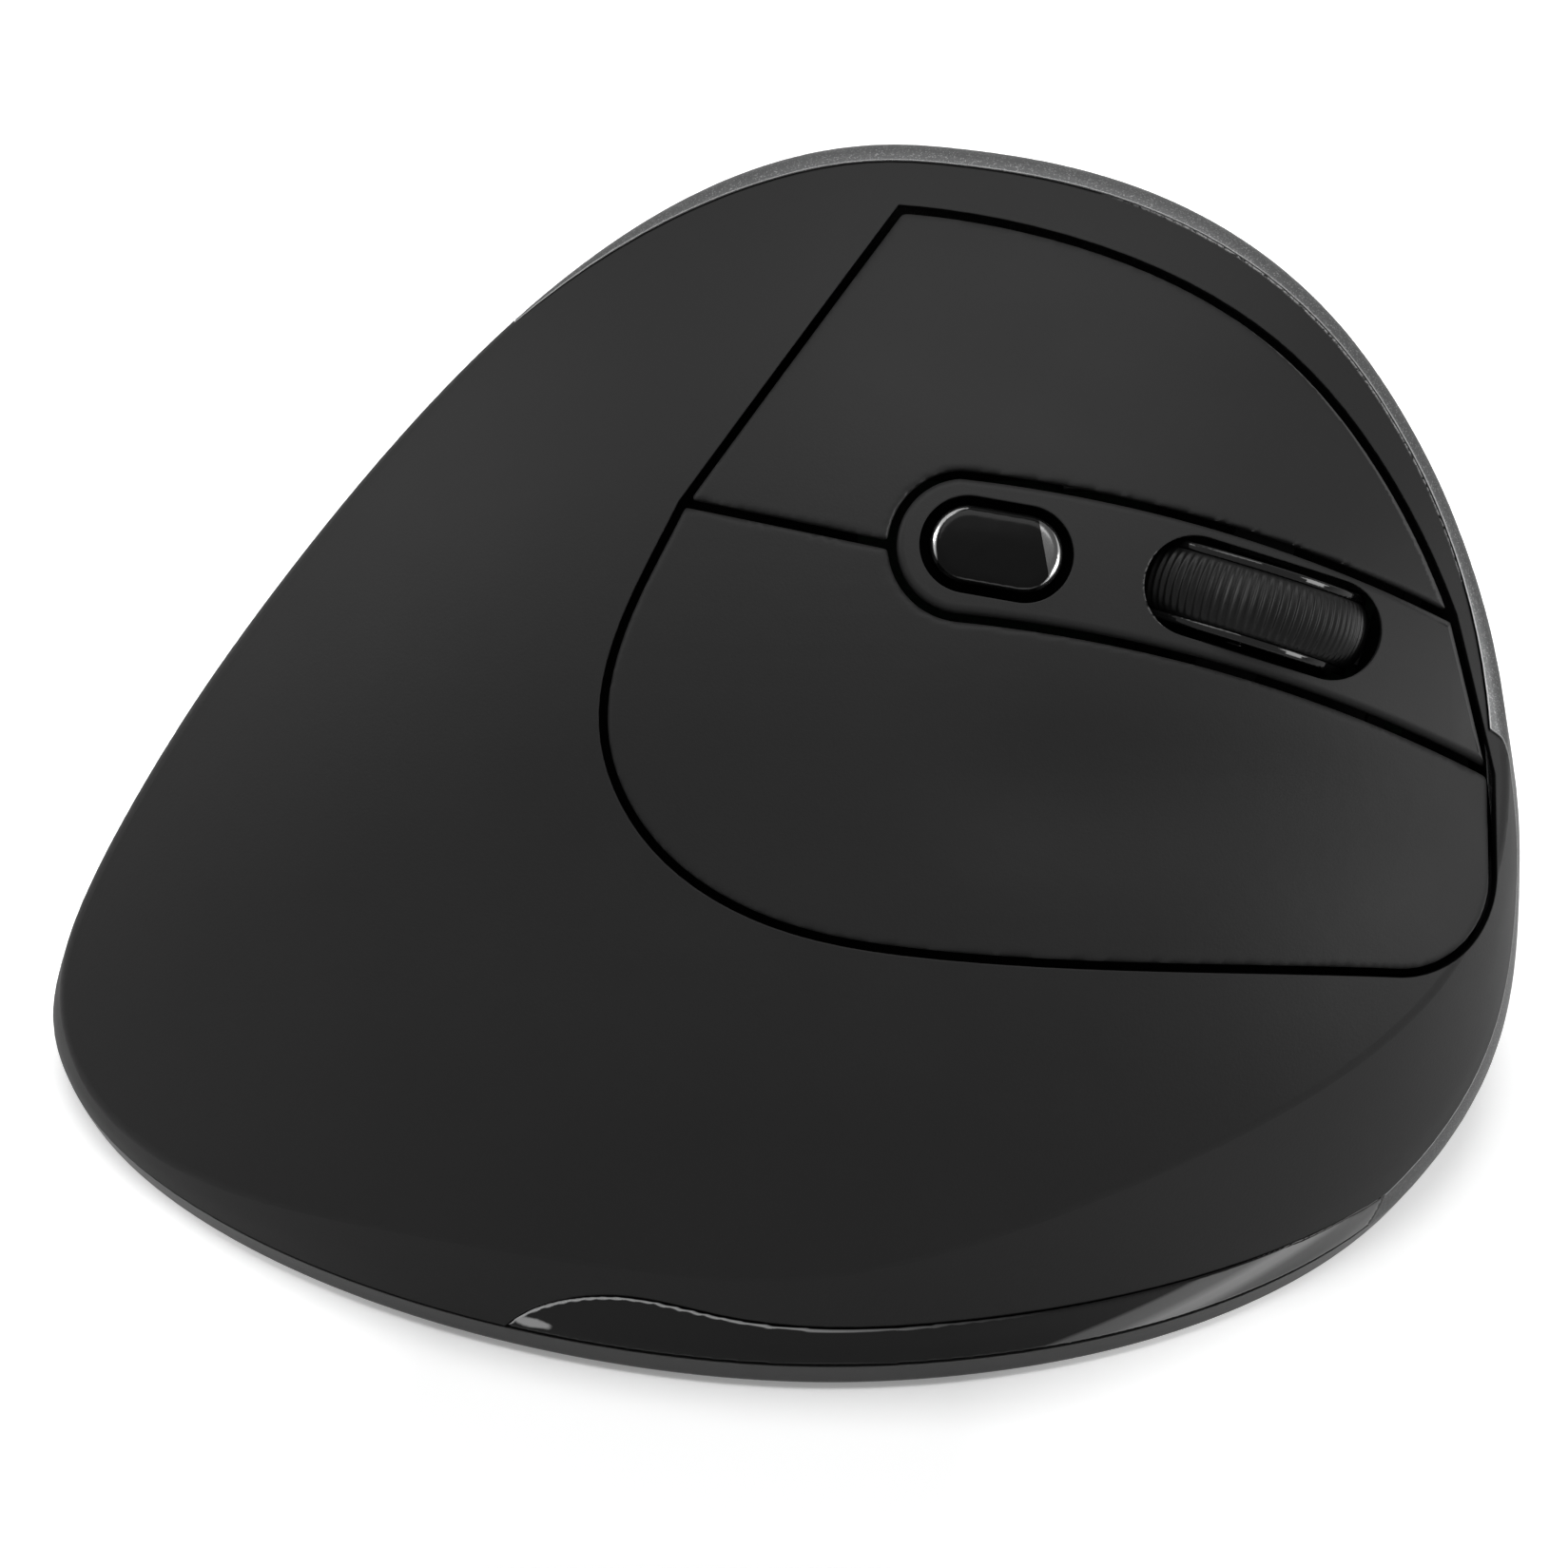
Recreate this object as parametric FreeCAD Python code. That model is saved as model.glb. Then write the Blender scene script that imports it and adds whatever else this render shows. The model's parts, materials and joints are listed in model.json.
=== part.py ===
import FreeCAD, Part
import math
import os
from FreeCAD import Placement, Rotation, Vector

# A vertical mouse. Millimetres, +X forward, +Y thumb side, +Z up; the origin is on the desk
# under the middle of the body. The finger face leans: s runs forward along it, t runs up it,
# and w stands square on it.

# Body form
lean = 45.0                 # angle between the finger face and the desk, degrees
face_height = 45.3          # w of the highest point of the finger face
crown_s = 12.5              # where along the mouse the face is highest
tail_s = -59.0              # rear end of the face
nose_s = 59.0               # front end of the face
tail_drop = 31.6            # how far the face falls towards the tail
tail_power = 2.05
nose_drop = 12.7            # how far the face falls towards the nose
nose_power = 2.7
ridge_mid = 21.0            # t of the ridge line at the crown
ridge_tail = -5.0           # t of the ridge line at the tail
ridge_nose = 24.0           # t of the ridge line at the nose
roll_low = 6.5              # fall of the face towards the right side
roll_low_width = 42.0
roll_low_power = 3.0
edge_roll = 1.3             # further fall where the face rolls over into the right side's wall
edge_roll_from = 0.72       # where that starts, as a share of the plan outline
roll_high = 15.2            # fall of the face towards the crest
roll_high_width = 48.0
roll_high_power = 2.2
waist_x = 3.0               # where the plan outline is widest
waist_y = -4.8
tail_right_power = 1.78     # how square each quarter of the plan outline is
tail_left_power = 1.65
nose_right_power = 2.06
nose_left_power = 2.07
# Plan outline at each height: height, tail x, nose x, right side y, thumb side y
plan_levels = [
    (0.0, -59.3, 55.4, -41.7, 38.0),
    (6.0, -60.8, 59.0, -40.9, 34.0),
    (16.0, -58.6, 60.3, -40.2, 26.0),
    (30.0, -57.2, 59.6, -40.0, 21.3),
    (50.0, -57.2, 56.8, -40.0, 24.6),
    (70.0, -57.4, 58.2, -40.0, 32.5),
    (90.0, -57.4, 58.2, -40.0, 38.0),
]
widest_level = plan_levels[2]
crest_round = 2.0           # rounding where the face meets the walls

# Finger dips in the two buttons: middle s and t, half length, half width, depth, turn
index_dip = (32.0, 50.0, 16.0, 5.6, 0.9, -23.0)
middle_dip = (32.0, 18.4, 19.0, 5.8, 0.9, -2.0)

# Walls and seams
wall = 2.0                  # thickness of every outer moulding
seam = 0.7                  # open seam round the buttons and the bridge
parting = 0.15              # closed seam between fixed mouldings
rim_width = 3.85            # grey crest rim at the waist, measured from the sharp outer wall
rim_nose = 1.0              # the same at the nose
rim_run = 36.0              # length over which the rim grows from nothing
rim_fade = 4                # power with which the rim narrows towards the nose
rim_overrun = 0.6           # how far outside the wall the seam runs behind that
lid_depth = 2.6             # how deep the black shell reaches in at the crest
foot_height = 0.6           # the feet lift the base this much
base_top = 2.4              # top of the base plate's floor and of its grey rim
bridge_edge = 0.6           # rounding of the bridge's outer edge

# Edge of the opening for the buttons and the bridge on the finger face, s and t
index_corner = (9.2, 66.0)              # sharp rear corner above the index button
split_start = (-8.4, 41.9)              # where the two buttons and the shell meet
opening_top = [index_corner, (23.6, 63.2), (40.2, 54.3), (49.9, 41.6), (53.8, 33.0)]
opening_front = (57.0, 20.2)
opening_low_front = (57.2, 12.0)
opening_left = [split_start, (-12.6, 33.4), (-14.7, 24.0), (-11.2, 15.1), (-1.2, 8.2), (11.0, 5.7),
                (49.0, 4.0)]

# Outline of the bridge itself, s and t
bridge_front_upper = (56.0, 31.0)
bridge_upper_mid = (34.1, 39.6)
bridge_upper_rear = (14.0, 43.6)
bridge_rear = (8.9, 38.2)
bridge_lower_rear = (14.0, 32.9)
bridge_lower_mid = (36.0, 28.6)
bridge_front_lower = (59.0, 19.4)
opening_depth = 19.3                    # how far the cuts through the finger face reach down

# Seam of the grey shell round the nose, y and z, and down behind the thumb, x and z
nose_seam = [(-26.0, 6.2), (-22.6, 8.3), (-17.5, 12.0), (-13.4, 16.5), (-10.1, 24.5), (-7.3, 40.0)]
back_seam = [(-47.0, 0.0), (-43.5, 8.0), (-35.5, 22.0), (-26.5, 42.0), (-21.5, 60.0), (-20.0, 75.0)]
strip_top = [(-22.6, 2.4), (-18.4, 6.4), (-13.0, 8.2), (-5.0, 7.3), (12.0, 6.6), (52.0, 6.0)]

# Inner frame and leaning circuit board, in s, t and w
frame_top = 25.6            # w of the frame plate's upper face
frame_thick = 1.8
frame_s = (-19.0, 55.5)
frame_t = (4.0, 45.0)
frame_tab_s = (23.0, 38.0)  # the tab that carries the index switch
frame_tab_t = 49.5
board_thick = 1.2
board_s = (6.0, 50.0)
board_t = (12.0, 44.0)
room = 0.5                  # air between the frame and the mouldings
rib_x = (25.0, 46.0)        # rear faces of the two ribs that stand on the base
rib_thick = 1.5
rib_y = (-6.0, 12.0)
post_radius = 1.8
bridge_post_radius = 1.0
shell_posts = [(-15.5, 8.0), (-16.5, 33.0)]     # s and t of the frame's posts to the black shell
bridge_posts = [(24.8, 36.8), (53.3, 26.0)]     # s and t of the bridge's posts to the frame

# Click buttons: pivot s, pivot t, switch s, switch t
index_lever = (2.0, 43.4, 31.0, 46.0)
middle_lever = (-6.0, 24.0, 40.0, 17.0)
pivot_w = 36.5
pin_radius = 0.8
pin_clearance = 0.05
lug_width = 2.0
ear_width = 1.4
ear_reach = 1.7             # half length of an ear and how far it reaches past the pin
side_play = 0.2
switch_gap = 0.05           # air between a button's plunger and its switch
switch_size = (12.8, 5.8, 6.5)
switch_offset = 2.2         # the plunger stands this far from the switch's middle
plunger_size = (1.6, 2.6, 1.6)
plunger_rise = 0.7
plunger_sunk = 0.9
tappet_radius = 1.5

# Wheel, its yoke and its encoder; middle s and t, and the turn of the wheel's plane
wheel_slot_middle = (38.0, 33.4)
wheel_middle = (36.8, 33.8) # the axle, a little behind the slot's middle, square under the falling face
wheel_turn = -17.0
wheel_radius = 10.2
wheel_proud = 2.9           # how far the tyre stands over the finger face
tyre_width = 5.2
tyre_thick = 1.9
tyre_ribs = 54
rib_depth = 0.3
tyre_crown = 0.7            # how much lower the tread is at its two sides
hub_lip = 0.7               # gloss lip on each side of the tyre
hub_lip_drop = 0.9
hub_lip_round = 0.23
axle_radius = 1.3
axle_play = 0.05
wheel_slot = (19.6, 8.1)
wheel_relief = 0.35         # room round the wheel under the bridge's skin
relief_skin = 0.8           # skin left over that room
yoke_back = -7.0            # rear end of the yoke's two arms along the wheel, from its axle
yoke_front = 12.2
yoke_bar = 1.7              # width of the bar in front that presses the switch
yoke_width = 13.0
yoke_gap = 7.6
yoke_w = (29.0, 30.6)
yoke_arm = 5.0
wheel_click = 0.4
encoder_size = (11.0, 5.0, 10.4)
encoder_gap = 0.3
tact_size = (3.6, 3.6)
board_slot = (19.4, 9.4)
guide_thick = 1.4

# Resolution button in the bridge: middle s and t, turn
dpi_middle = (16.8, 38.0)
dpi_turn = -10.0
dpi_opening = (12.3, 7.8)
dpi_cap = (10.6, 6.2)
dpi_flange = (13.6, 8.8)
dpi_flange_thick = 0.8
dpi_flange_drop = 1.2       # flange's top below the bridge's underside at its middle
dpi_proud = 0.2
dpi_edge = 0.8
dpi_travel = 0.4
dpi_stem = 1.5
dpi_switch = (6.0, 6.0, 3.4)
tact_plunger_radius = 1.1

# Thumb buttons in the grey shell, x and z
thumb_line = [(-12.0, 47.2), (6.5, 52.6), (25.0, 52.0)]
thumb_half_height = 3.3
thumb_end_radius = 1.6
thumb_split_x = 6.5
thumb_seam = 0.35
thumb_proud = 0.9
thumb_travel = 0.6
thumb_edge = 0.5
thumb_flange = 0.8          # how far the flange holds behind the shell, and its thickness
thumb_boss_radius = 1.6
thumb_switch_x = (-2.5, 15.5)
thumb_switch_z = 50.5
side_board_x = (-9.0, 22.0)
side_board_y = (15.8, 17.0)
side_board_z = (44.0, 54.5)
side_switch = (5.0, 2.0, 5.0)
side_plunger_rise = 0.7
bracket_width = 4.0
bracket_reach = 4.0
board_screws_at = [(9.5, 27.0), (25.0, 17.0), (47.0, 22.0), (10.0, 41.8)]     # s and t

# Base plate and what stands on it
tongue_height = 1.8
tongue_thick = 1.2
tongue_play = 0.15
base_edge = 0.4
foot_play = 0.15
foot_round = 2.0
foot_sink = 0.2             # depth of the pocket that a foot is glued in
foot_ring = (21.0, 15.0)    # outer size of the foot that rings the sensor's window
foot_ring_gap = 1.0         # from that window to the ring
# Middle x and y, length and width of each foot
feet = {
    "foot_rear": (-49.0, -4.0, 6.0, 16.0),
    "foot_front": (48.0, -3.0, 6.0, 16.0),
    "foot_right": (-8.0, -32.0, 20.0, 5.0),
    "foot_left": (4.0, 29.0, 24.0, 6.0),
}
battery_radius = 7.25
battery_length = 50.5
battery_start = -30.0
battery_y = -17.0
battery_lift = 0.5          # air between the battery and its cover
bay_play = 0.35
bay_wall = 1.2
bay_height = 9.6            # height of the bay's walls over the base plate
contact_thick = 0.4
contact_width = 10.0
spring_length = 4.4
spring_radius = 3.0
spring_wire = 0.35
spring_turns = 4
contact_ledge = 1.2         # ledge at both ends of the bay that the contacts stand on
cover_thick = 1.1
cover_overlap = 2.4         # how far the cover reaches past the bay's opening
cover_play = 0.2
cover_travel = 5.0
cover_rib_thick = 1.0
cover_rib_height = 1.2
receiver_middle = (35.8, -14.0)
receiver_cap = (14.4, 6.4, 5.2)
receiver_plug = (12.0, 4.5, 12.2)
receiver_play = 0.25
receiver_wall = 1.1
main_board_x = (-24.0, 21.0)
main_board_y = (-6.6, 18.0)
main_board_z = 5.0
standoff_radius = 2.3
standoff_inset = 3.0
screw_radius = 0.9
screw_head_radius = 1.7
screw_head_thick = 1.1
screw_play = 0.05
screw_bite = 2.1            # how deep the board screws reach below their board
sensor_middle = (9.0, 4.5)
sensor_window = (9.0, 6.6)
lens_plate = (19.0, 11.0, 1.4)
lens_nub = (7.6, 5.2)
sensor_chip = (12.0, 9.0, 3.6)
power_middle = (-14.0, 11.0)
power_slot = (7.6, 3.4)
power_knob = (4.2, 2.8)
power_travel = 3.0
power_housing = (9.4, 5.0)
power_lift = 0.3            # the knob stays this far off the desk
power_wall = 0.8
controller_middle = (-9.0, 1.0)
controller_size = (8.0, 8.0, 1.2)
ribbon_s = (4.0, 14.0)
ribbon_t = 14.6
ribbon_bend_w = 20.0
ribbon_thick = 0.35
socket_size = (12.0, 2.4, 2.0)
shell_bosses = [(-48.5, -16.0), (10.0, -33.0), (34.0, -30.0)]   # x and y, in the black shell
thumb_bosses = [(-16.0, 22.0), (34.0, 18.0)]                    # x and y, in the grey shell
boss_radius = 2.9
boss_height = 12.0
gusset_thick = 1.6
gusset_reach = 14.0
base_screw_reach = 7.0

face_from = (-66.0, -48.0)  # s and t where the face surface starts and ends
face_to = (68.0, 88.0)
face_grid = (33, 33)
spline_steps = 14           # points that carry an outline's spline when it is moved
plan_points = 32            # points round one plan outline
slope_step = 0.5            # half the distance over which the face's slope is taken
large_face_share = 1 / 3    # a face counts as large from this share of the largest one
mostly_along = 0.5          # an edge runs along an axis from this cosine
sewing_gap = 0.0001         # usual and largest gap closed between the faces of a hollow shell
sewing_gap_most = 0.001
body_depth = 110.0          # longer than the body is deep
full_turn = 360.0
quarter_turn = 90.0


def lean_turn():
    return Placement(Vector(0, 0, 0), Rotation(Vector(1, 0, 0), lean))


def leaned(shape):
    """Turn a shape drawn in s, t, w into the mouse's own frame."""
    turned = shape.copy()
    turned.Placement = lean_turn().multiply(turned.Placement)
    return turned


def face_point(s, t, w):
    return lean_turn().multVec(Vector(s, t, w))


def dip_depth(s, t, dip):
    middle_s, middle_t, half_length, half_width, depth, turn = dip
    angle = math.radians(turn)
    along = (s - middle_s) * math.cos(angle) + (t - middle_t) * math.sin(angle)
    across = (t - middle_t) * math.cos(angle) - (s - middle_s) * math.sin(angle)
    return depth * math.exp(-(along / half_length) ** 4 - (across / half_width) ** 2)


def edge_fall(x, y):
    """Fall of the face where it rolls over into the wall on the right side."""
    tail_x, front_x, right_y = widest_level[1:4]
    along = (x - waist_x) / (front_x - waist_x) if x > waist_x else (waist_x - x) / (waist_x - tail_x)
    across = max(0.0, waist_y - y) / (waist_y - right_y)
    power = nose_right_power if x > waist_x else tail_right_power
    outwards = (along ** power + across ** power) ** (1 / power)
    share = max(0.0, outwards - edge_roll_from) / (1 - edge_roll_from)
    return edge_roll * across * share ** 2


def face_w(s, t):
    """Height of the finger face over the leaning plane."""
    back = max(0.0, (crown_s - s) / (crown_s - tail_s))
    ahead = max(0.0, (s - crown_s) / (nose_s - crown_s))
    fall = tail_drop * back ** tail_power + nose_drop * ahead ** nose_power
    ridge = ridge_mid + (ridge_tail - ridge_mid) * back ** 2 + (ridge_nose - ridge_mid) * ahead ** 2
    if t > ridge:
        fall += roll_high * ((t - ridge) / roll_high_width) ** roll_high_power
    else:
        fall += roll_low * ((ridge - t) / roll_low_width) ** roll_low_power
    fall += dip_depth(s, t, index_dip) + dip_depth(s, t, middle_dip)
    fall += edge_fall(s, face_point(s, t, face_height - fall).y)
    return face_height - fall


def face_normal(s, t):
    step = slope_step
    along = Vector(2 * step, 0, face_w(s + step, t) - face_w(s - step, t))
    across = Vector(0, 2 * step, face_w(s, t + step) - face_w(s, t - step))
    return along.cross(across).normalize()


def under_face(inset):
    """Everything below the finger face, or below that face moved in by inset."""
    columns, rows = face_grid
    poles = []
    for i in range(columns):
        s = face_from[0] + (face_to[0] - face_from[0]) * i / (columns - 1)
        row = []
        for j in range(rows):
            t = face_from[1] + (face_to[1] - face_from[1]) * j / (rows - 1)
            row.append(Vector(s, t, face_w(s, t)) - face_normal(s, t) * inset)
        poles.append(row)
    surface = Part.BSplineSurface()
    surface.interpolate(poles)
    return leaned(surface.toShape().extrude(Vector(0, 0, -body_depth)))


def corner_power(c, s):
    if c > 0:
        return nose_left_power if s > 0 else nose_right_power
    return tail_left_power if s > 0 else tail_right_power


def plan_wire(level, inset):
    """Closed plan outline at one level. inset is a distance, or a function of x."""
    height, tail_x, front_x, right_y, thumb_y = level
    points = []
    for i in range(plan_points):
        angle = math.pi / 2 + 2 * math.pi * i / plan_points
        c = math.cos(angle)
        s = math.sin(angle)
        power = 2 / corner_power(c, s)
        unit_x = math.copysign(abs(c) ** power, c)
        unit_y = math.copysign(abs(s) ** power, s)
        reach_x = front_x - waist_x if c > 0 else waist_x - tail_x
        reach_y = thumb_y - waist_y if s > 0 else waist_y - right_y
        less = inset(waist_x + reach_x * unit_x) if callable(inset) else inset
        x = waist_x + (reach_x - less) * unit_x
        y = waist_y + (reach_y - less) * unit_y
        points.append(Vector(x, y, height))
    curve = Part.BSplineCurve()
    curve.interpolate(points, PeriodicFlag=True)
    return Part.Wire([curve.toShape()])


def wall_form(inset):
    return Part.makeLoft([plan_wire(level, inset) for level in plan_levels], True, False)


def body_form(inset):
    return wall_form(inset).common(under_face(inset)).Solids[0]


def rounded_body():
    body = body_form(0.0)
    face = max(body.Faces, key=lambda f: f.CenterOfMass.dot(face_up()))
    return body.makeFillet(crest_round, face.Edges)


def spline(points):
    curve = Part.BSplineCurve()
    curve.interpolate(points)
    return curve.toShape()


def through_points(*points):
    return spline(list(points))


def arc(start, middle, end):
    return Part.Arc(start, middle, end).toShape()


def straight(start, end):
    return Part.makeLine(start, end)


def flat(points):
    """Points of the s, t plane."""
    return [Vector(s, t, 0) for s, t in points]


def largest(shape):
    return max(shape.Solids, key=lambda solid: solid.Volume)


def above(height):
    size = 2 * body_depth
    return Part.makeBox(size, size, size, Vector(-size / 2, -size / 2, height))


def hollow(outer, inner, height):
    """The moulding between two nested forms above one height, closed by a flat rim."""
    faces = []
    floors = []
    for form in (outer, inner):
        cut = form.common(above(height)).Solids[0]
        floor = min(cut.Faces, key=lambda f: f.CenterOfMass.z)
        floors.append(floor)
        faces += [f for f in cut.Faces if not f.isSame(floor)]
    rim = floors[0].cut(floors[1])
    shell = Part.Shell(faces + rim.Faces)
    shell.sewShape()
    solid = Part.Solid(Part.Shell(shell.Faces))
    solid.fix(sewing_gap, sewing_gap, sewing_gap_most)
    return solid


def rim_inset(x):
    """Distance of the crest seam from the wall: nothing behind the thumb, most at the waist."""
    if x < waist_x:
        return max(-rim_overrun, rim_width * (1 - ((waist_x - x) / rim_run) ** 2))
    share = min(1.0, (x - waist_x) / (nose_s - waist_x))
    return rim_width + (rim_nose - rim_width) * share ** rim_fade


def lid(extra):
    """The part of the body that belongs to the finger face along the crest."""
    walls = wall_form(lambda x: rim_inset(x) + extra)
    return walls.cut(under_face(lid_depth - extra))


def thumb_block(extra):
    """The region of the grey shell, before the lid is taken from it."""
    seam_edge = spline([Vector(0, y + extra, z) for y, z in nose_seam])
    low = Vector(0, nose_seam[0][0] + extra, -body_depth)
    start = Vector(0, nose_seam[0][0] + extra, nose_seam[0][1])
    end = Vector(0, nose_seam[-1][0] + extra, nose_seam[-1][1])
    high = Vector(0, end.y, body_depth)
    far_high = Vector(0, body_depth, body_depth)
    far_low = Vector(0, body_depth, -body_depth)
    ahead = Part.Wire([straight(low, start), seam_edge, straight(end, high), straight(high, far_high),
                       straight(far_high, far_low), straight(far_low, low)])
    front = Part.Face(ahead)
    front.translate(Vector(crown_s, 0, 0))
    front = front.extrude(Vector(body_depth, 0, 0))
    back_edge = spline([Vector(x + extra, 0, z) for x, z in back_seam])
    first = Vector(back_seam[0][0] + extra, 0, back_seam[0][1])
    last = Vector(back_seam[-1][0] + extra, 0, back_seam[-1][1])
    below = Vector(first.x, 0, -body_depth)
    top = Vector(last.x, 0, body_depth)
    right_top = Vector(2 * crown_s, 0, body_depth)
    right_low = Vector(2 * crown_s, 0, -body_depth)
    behind = Part.Wire([straight(below, first), back_edge, straight(last, top), straight(top, right_top),
                        straight(right_top, right_low), straight(right_low, below)])
    rear = Part.Face(behind)
    rear.translate(Vector(0, waist_y, 0))
    rear = rear.extrude(Vector(0, body_depth, 0))
    return front.fuse(rear)


def strip_block(extra):
    edge = spline([Vector(x, 0, z + extra) for x, z in strip_top])
    first = Vector(strip_top[0][0], 0, strip_top[0][1] + extra)
    last = Vector(strip_top[-1][0], 0, strip_top[-1][1] + extra)
    low_last = Vector(last.x, 0, -body_depth)
    low_first = Vector(first.x, 0, -body_depth)
    outline = Part.Wire([edge, straight(last, low_last), straight(low_last, low_first),
                         straight(low_first, first)])
    block = Part.Face(outline)
    block.translate(Vector(0, waist_y, 0))
    return block.extrude(Vector(0, -body_depth, 0))


def tangent_arc(start, direction, end):
    """Arc that leaves its start along a direction."""
    chord = end - start
    side = (chord - direction * chord.dot(direction)).normalize()
    radius = chord.dot(chord) / (2 * chord.dot(side))
    centre = start + side * radius
    middle = centre + ((start + end) / 2 - centre).normalize() * radius
    return arc(start, middle, end)


def opening_edges():
    """Edge of the shell's opening round both buttons and the bridge, clockwise."""
    corner, start, front, low_front, low = flat([
        index_corner, split_start, opening_front, opening_low_front, opening_left[-1]])
    front_corner = tangent_arc(low_front, (low_front - front).normalize(), low)
    left = Part.BSplineCurve()
    left.interpolate(Points=flat(opening_left)[::-1],
                     InitialTangent=front_corner.tangentAt(front_corner.LastParameter),
                     FinalTangent=(start - flat(opening_left)[1]).normalize())
    return [
        spline(flat(opening_top)),
        straight(flat(opening_top)[-1], front),
        straight(front, low_front),
        front_corner,
        left.toShape(),
        straight(start, corner)]


def bridge_edges():
    """Outline of the bridge, anticlockwise."""
    front_upper, upper, upper_rear, rear, lower_rear, lower, front_lower = flat([
        bridge_front_upper, bridge_upper_mid, bridge_upper_rear, bridge_rear,
        bridge_lower_rear, bridge_lower_mid, bridge_front_lower])
    return [
        arc(front_upper, upper, upper_rear),
        arc(upper_rear, rear, lower_rear),
        arc(lower_rear, lower, front_lower),
        straight(front_lower, front_upper)]


def moved_right(edges, distance):
    """Closed outline that runs a distance to the right of a closed run of edges."""

    def right_of(edge, parameter):
        along = edge.tangentAt(parameter)
        return Vector(along.y, -along.x, 0)

    joints = []
    for before, after in zip(edges[-1:] + edges[:-1], edges):
        first = right_of(before, before.LastParameter)
        second = right_of(after, after.FirstParameter)
        joint = after.valueAt(after.FirstParameter)
        joints.append(joint + (first + second) * (distance / (1 + first.dot(second))))
    result = []
    for edge, start, end in zip(edges, joints, joints[1:] + joints[:1]):
        steps = {"Line": 1, "Circle": 2}.get(type(edge.Curve).__name__, spline_steps)
        points = [start]
        for i in range(1, steps):
            parameter = edge.FirstParameter + (edge.LastParameter - edge.FirstParameter) * i / steps
            points.append(edge.valueAt(parameter) + right_of(edge, parameter) * distance)
        points.append(end)
        result.append({1: straight, 2: arc}.get(steps, through_points)(*points))
    return Part.Wire(result)


def through_face(wire):
    """A cutter through the finger face along its normal."""
    face = Part.Face(wire)
    face.translate(Vector(0, 0, face_height + wall - opening_depth))
    return leaned(face.extrude(Vector(0, 0, opening_depth)))


def cuboid(x, y, z):
    """Box from three pairs of limits."""
    return Part.makeBox(x[1] - x[0], y[1] - y[0], z[1] - z[0], Vector(x[0], y[0], z[0]))


def slab(low, high):
    """All the space between two heights."""
    reach = (-body_depth, body_depth)
    return cuboid(reach, reach, (low, high))


def centred_box(middle, size, z):
    return cuboid((middle[0] - size[0] / 2, middle[0] + size[0] / 2),
                  (middle[1] - size[1] / 2, middle[1] + size[1] / 2), z)


def rod(middle, radius, z):
    return Part.makeCylinder(radius, z[1] - z[0], Vector(middle[0], middle[1], z[0]))


def pill(middle, size, z):
    """Upright prism with round ends along x."""
    half = (size[0] - size[1]) / 2
    radius = size[1] / 2
    x, y = middle
    left_front = Vector(x + half, y + radius, z[0])
    right_front = Vector(x + half, y - radius, z[0])
    left_rear = Vector(x - half, y + radius, z[0])
    right_rear = Vector(x - half, y - radius, z[0])
    wire = Part.Wire([
        straight(left_rear, left_front),
        arc(left_front, Vector(x + half + radius, y, z[0]), right_front),
        straight(right_front, right_rear),
        arc(right_rear, Vector(x - half - radius, y, z[0]), left_rear)])
    return Part.Face(wire).extrude(Vector(0, 0, z[1] - z[0]))


def turned(shape, middle, degrees):
    result = shape.copy()
    result.rotate(Vector(middle[0], middle[1], 0), Vector(0, 0, 1), degrees)
    return result


def outward_face(solid, direction):
    """The large face that lies furthest along a direction."""
    least = large_face_share * max(face.Area for face in solid.Faces)
    large = [face for face in solid.Faces if face.Area > least]
    return max(large, key=lambda face: face.CenterOfMass.dot(direction))


def soften(solid, direction, radius):
    return solid.makeFillet(radius, outward_face(solid, direction).Edges)


def edges_along(solid, axis):
    def runs_along(edge):
        return abs(edge.tangentAt(edge.FirstParameter).dot(axis)) > mostly_along

    return [edge for edge in solid.Edges if runs_along(edge)]


def face_up():
    return face_point(0, 0, 1)


def board_top():
    return frame_top + board_thick


def button_underside(s, t):
    """w of the finger face's underside."""
    return face_w(s, t) - wall


def opening_skin(skin):
    """The finger face inside the opening, with its seam to the shell already open."""
    return largest(skin.common(through_face(moved_right(opening_edges(), seam))))


def split_slot():
    start, end = flat([split_start, bridge_rear])
    along = (end - start).normalize()
    across = Vector(-along.y, along.x, 0) * (seam / 2)
    reach = along * (2 * wall)
    corners = [start - reach - across, end + reach - across, end + reach + across, start - reach + across]
    return through_face(Part.makePolygon(corners + corners[:1]))


def lever_parts(lever):
    """Ears on the pivot and the tappet over the switch of one click button."""
    pivot_s, pivot_t, switch_s, switch_t = lever
    ceiling = under_face(wall / 2)
    parts = []
    near = lug_width / 2 + side_play
    for side in (-1, 1):
        t = sorted((pivot_t + side * near, pivot_t + side * (near + ear_width)))
        ear = cuboid((pivot_s - ear_reach, pivot_s + ear_reach), t, (pivot_w - ear_reach, face_height))
        hole = leaned(pin_rod(lever, pin_radius + pin_clearance, wall))
        parts.append(leaned(ear).common(ceiling).cut(hole))
    start = board_top() + switch_size[2] + plunger_rise + switch_gap
    parts.append(leaned(rod((switch_s, switch_t), tappet_radius, (start, face_height))).common(ceiling))
    return parts


def pin_rod(lever, radius, extra):
    length = lug_width + 2 * (side_play + ear_width) + 2 * extra
    start = Vector(lever[0], lever[1] - length / 2, pivot_w)
    return Part.makeCylinder(radius, length, start, Vector(0, 1, 0))


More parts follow.
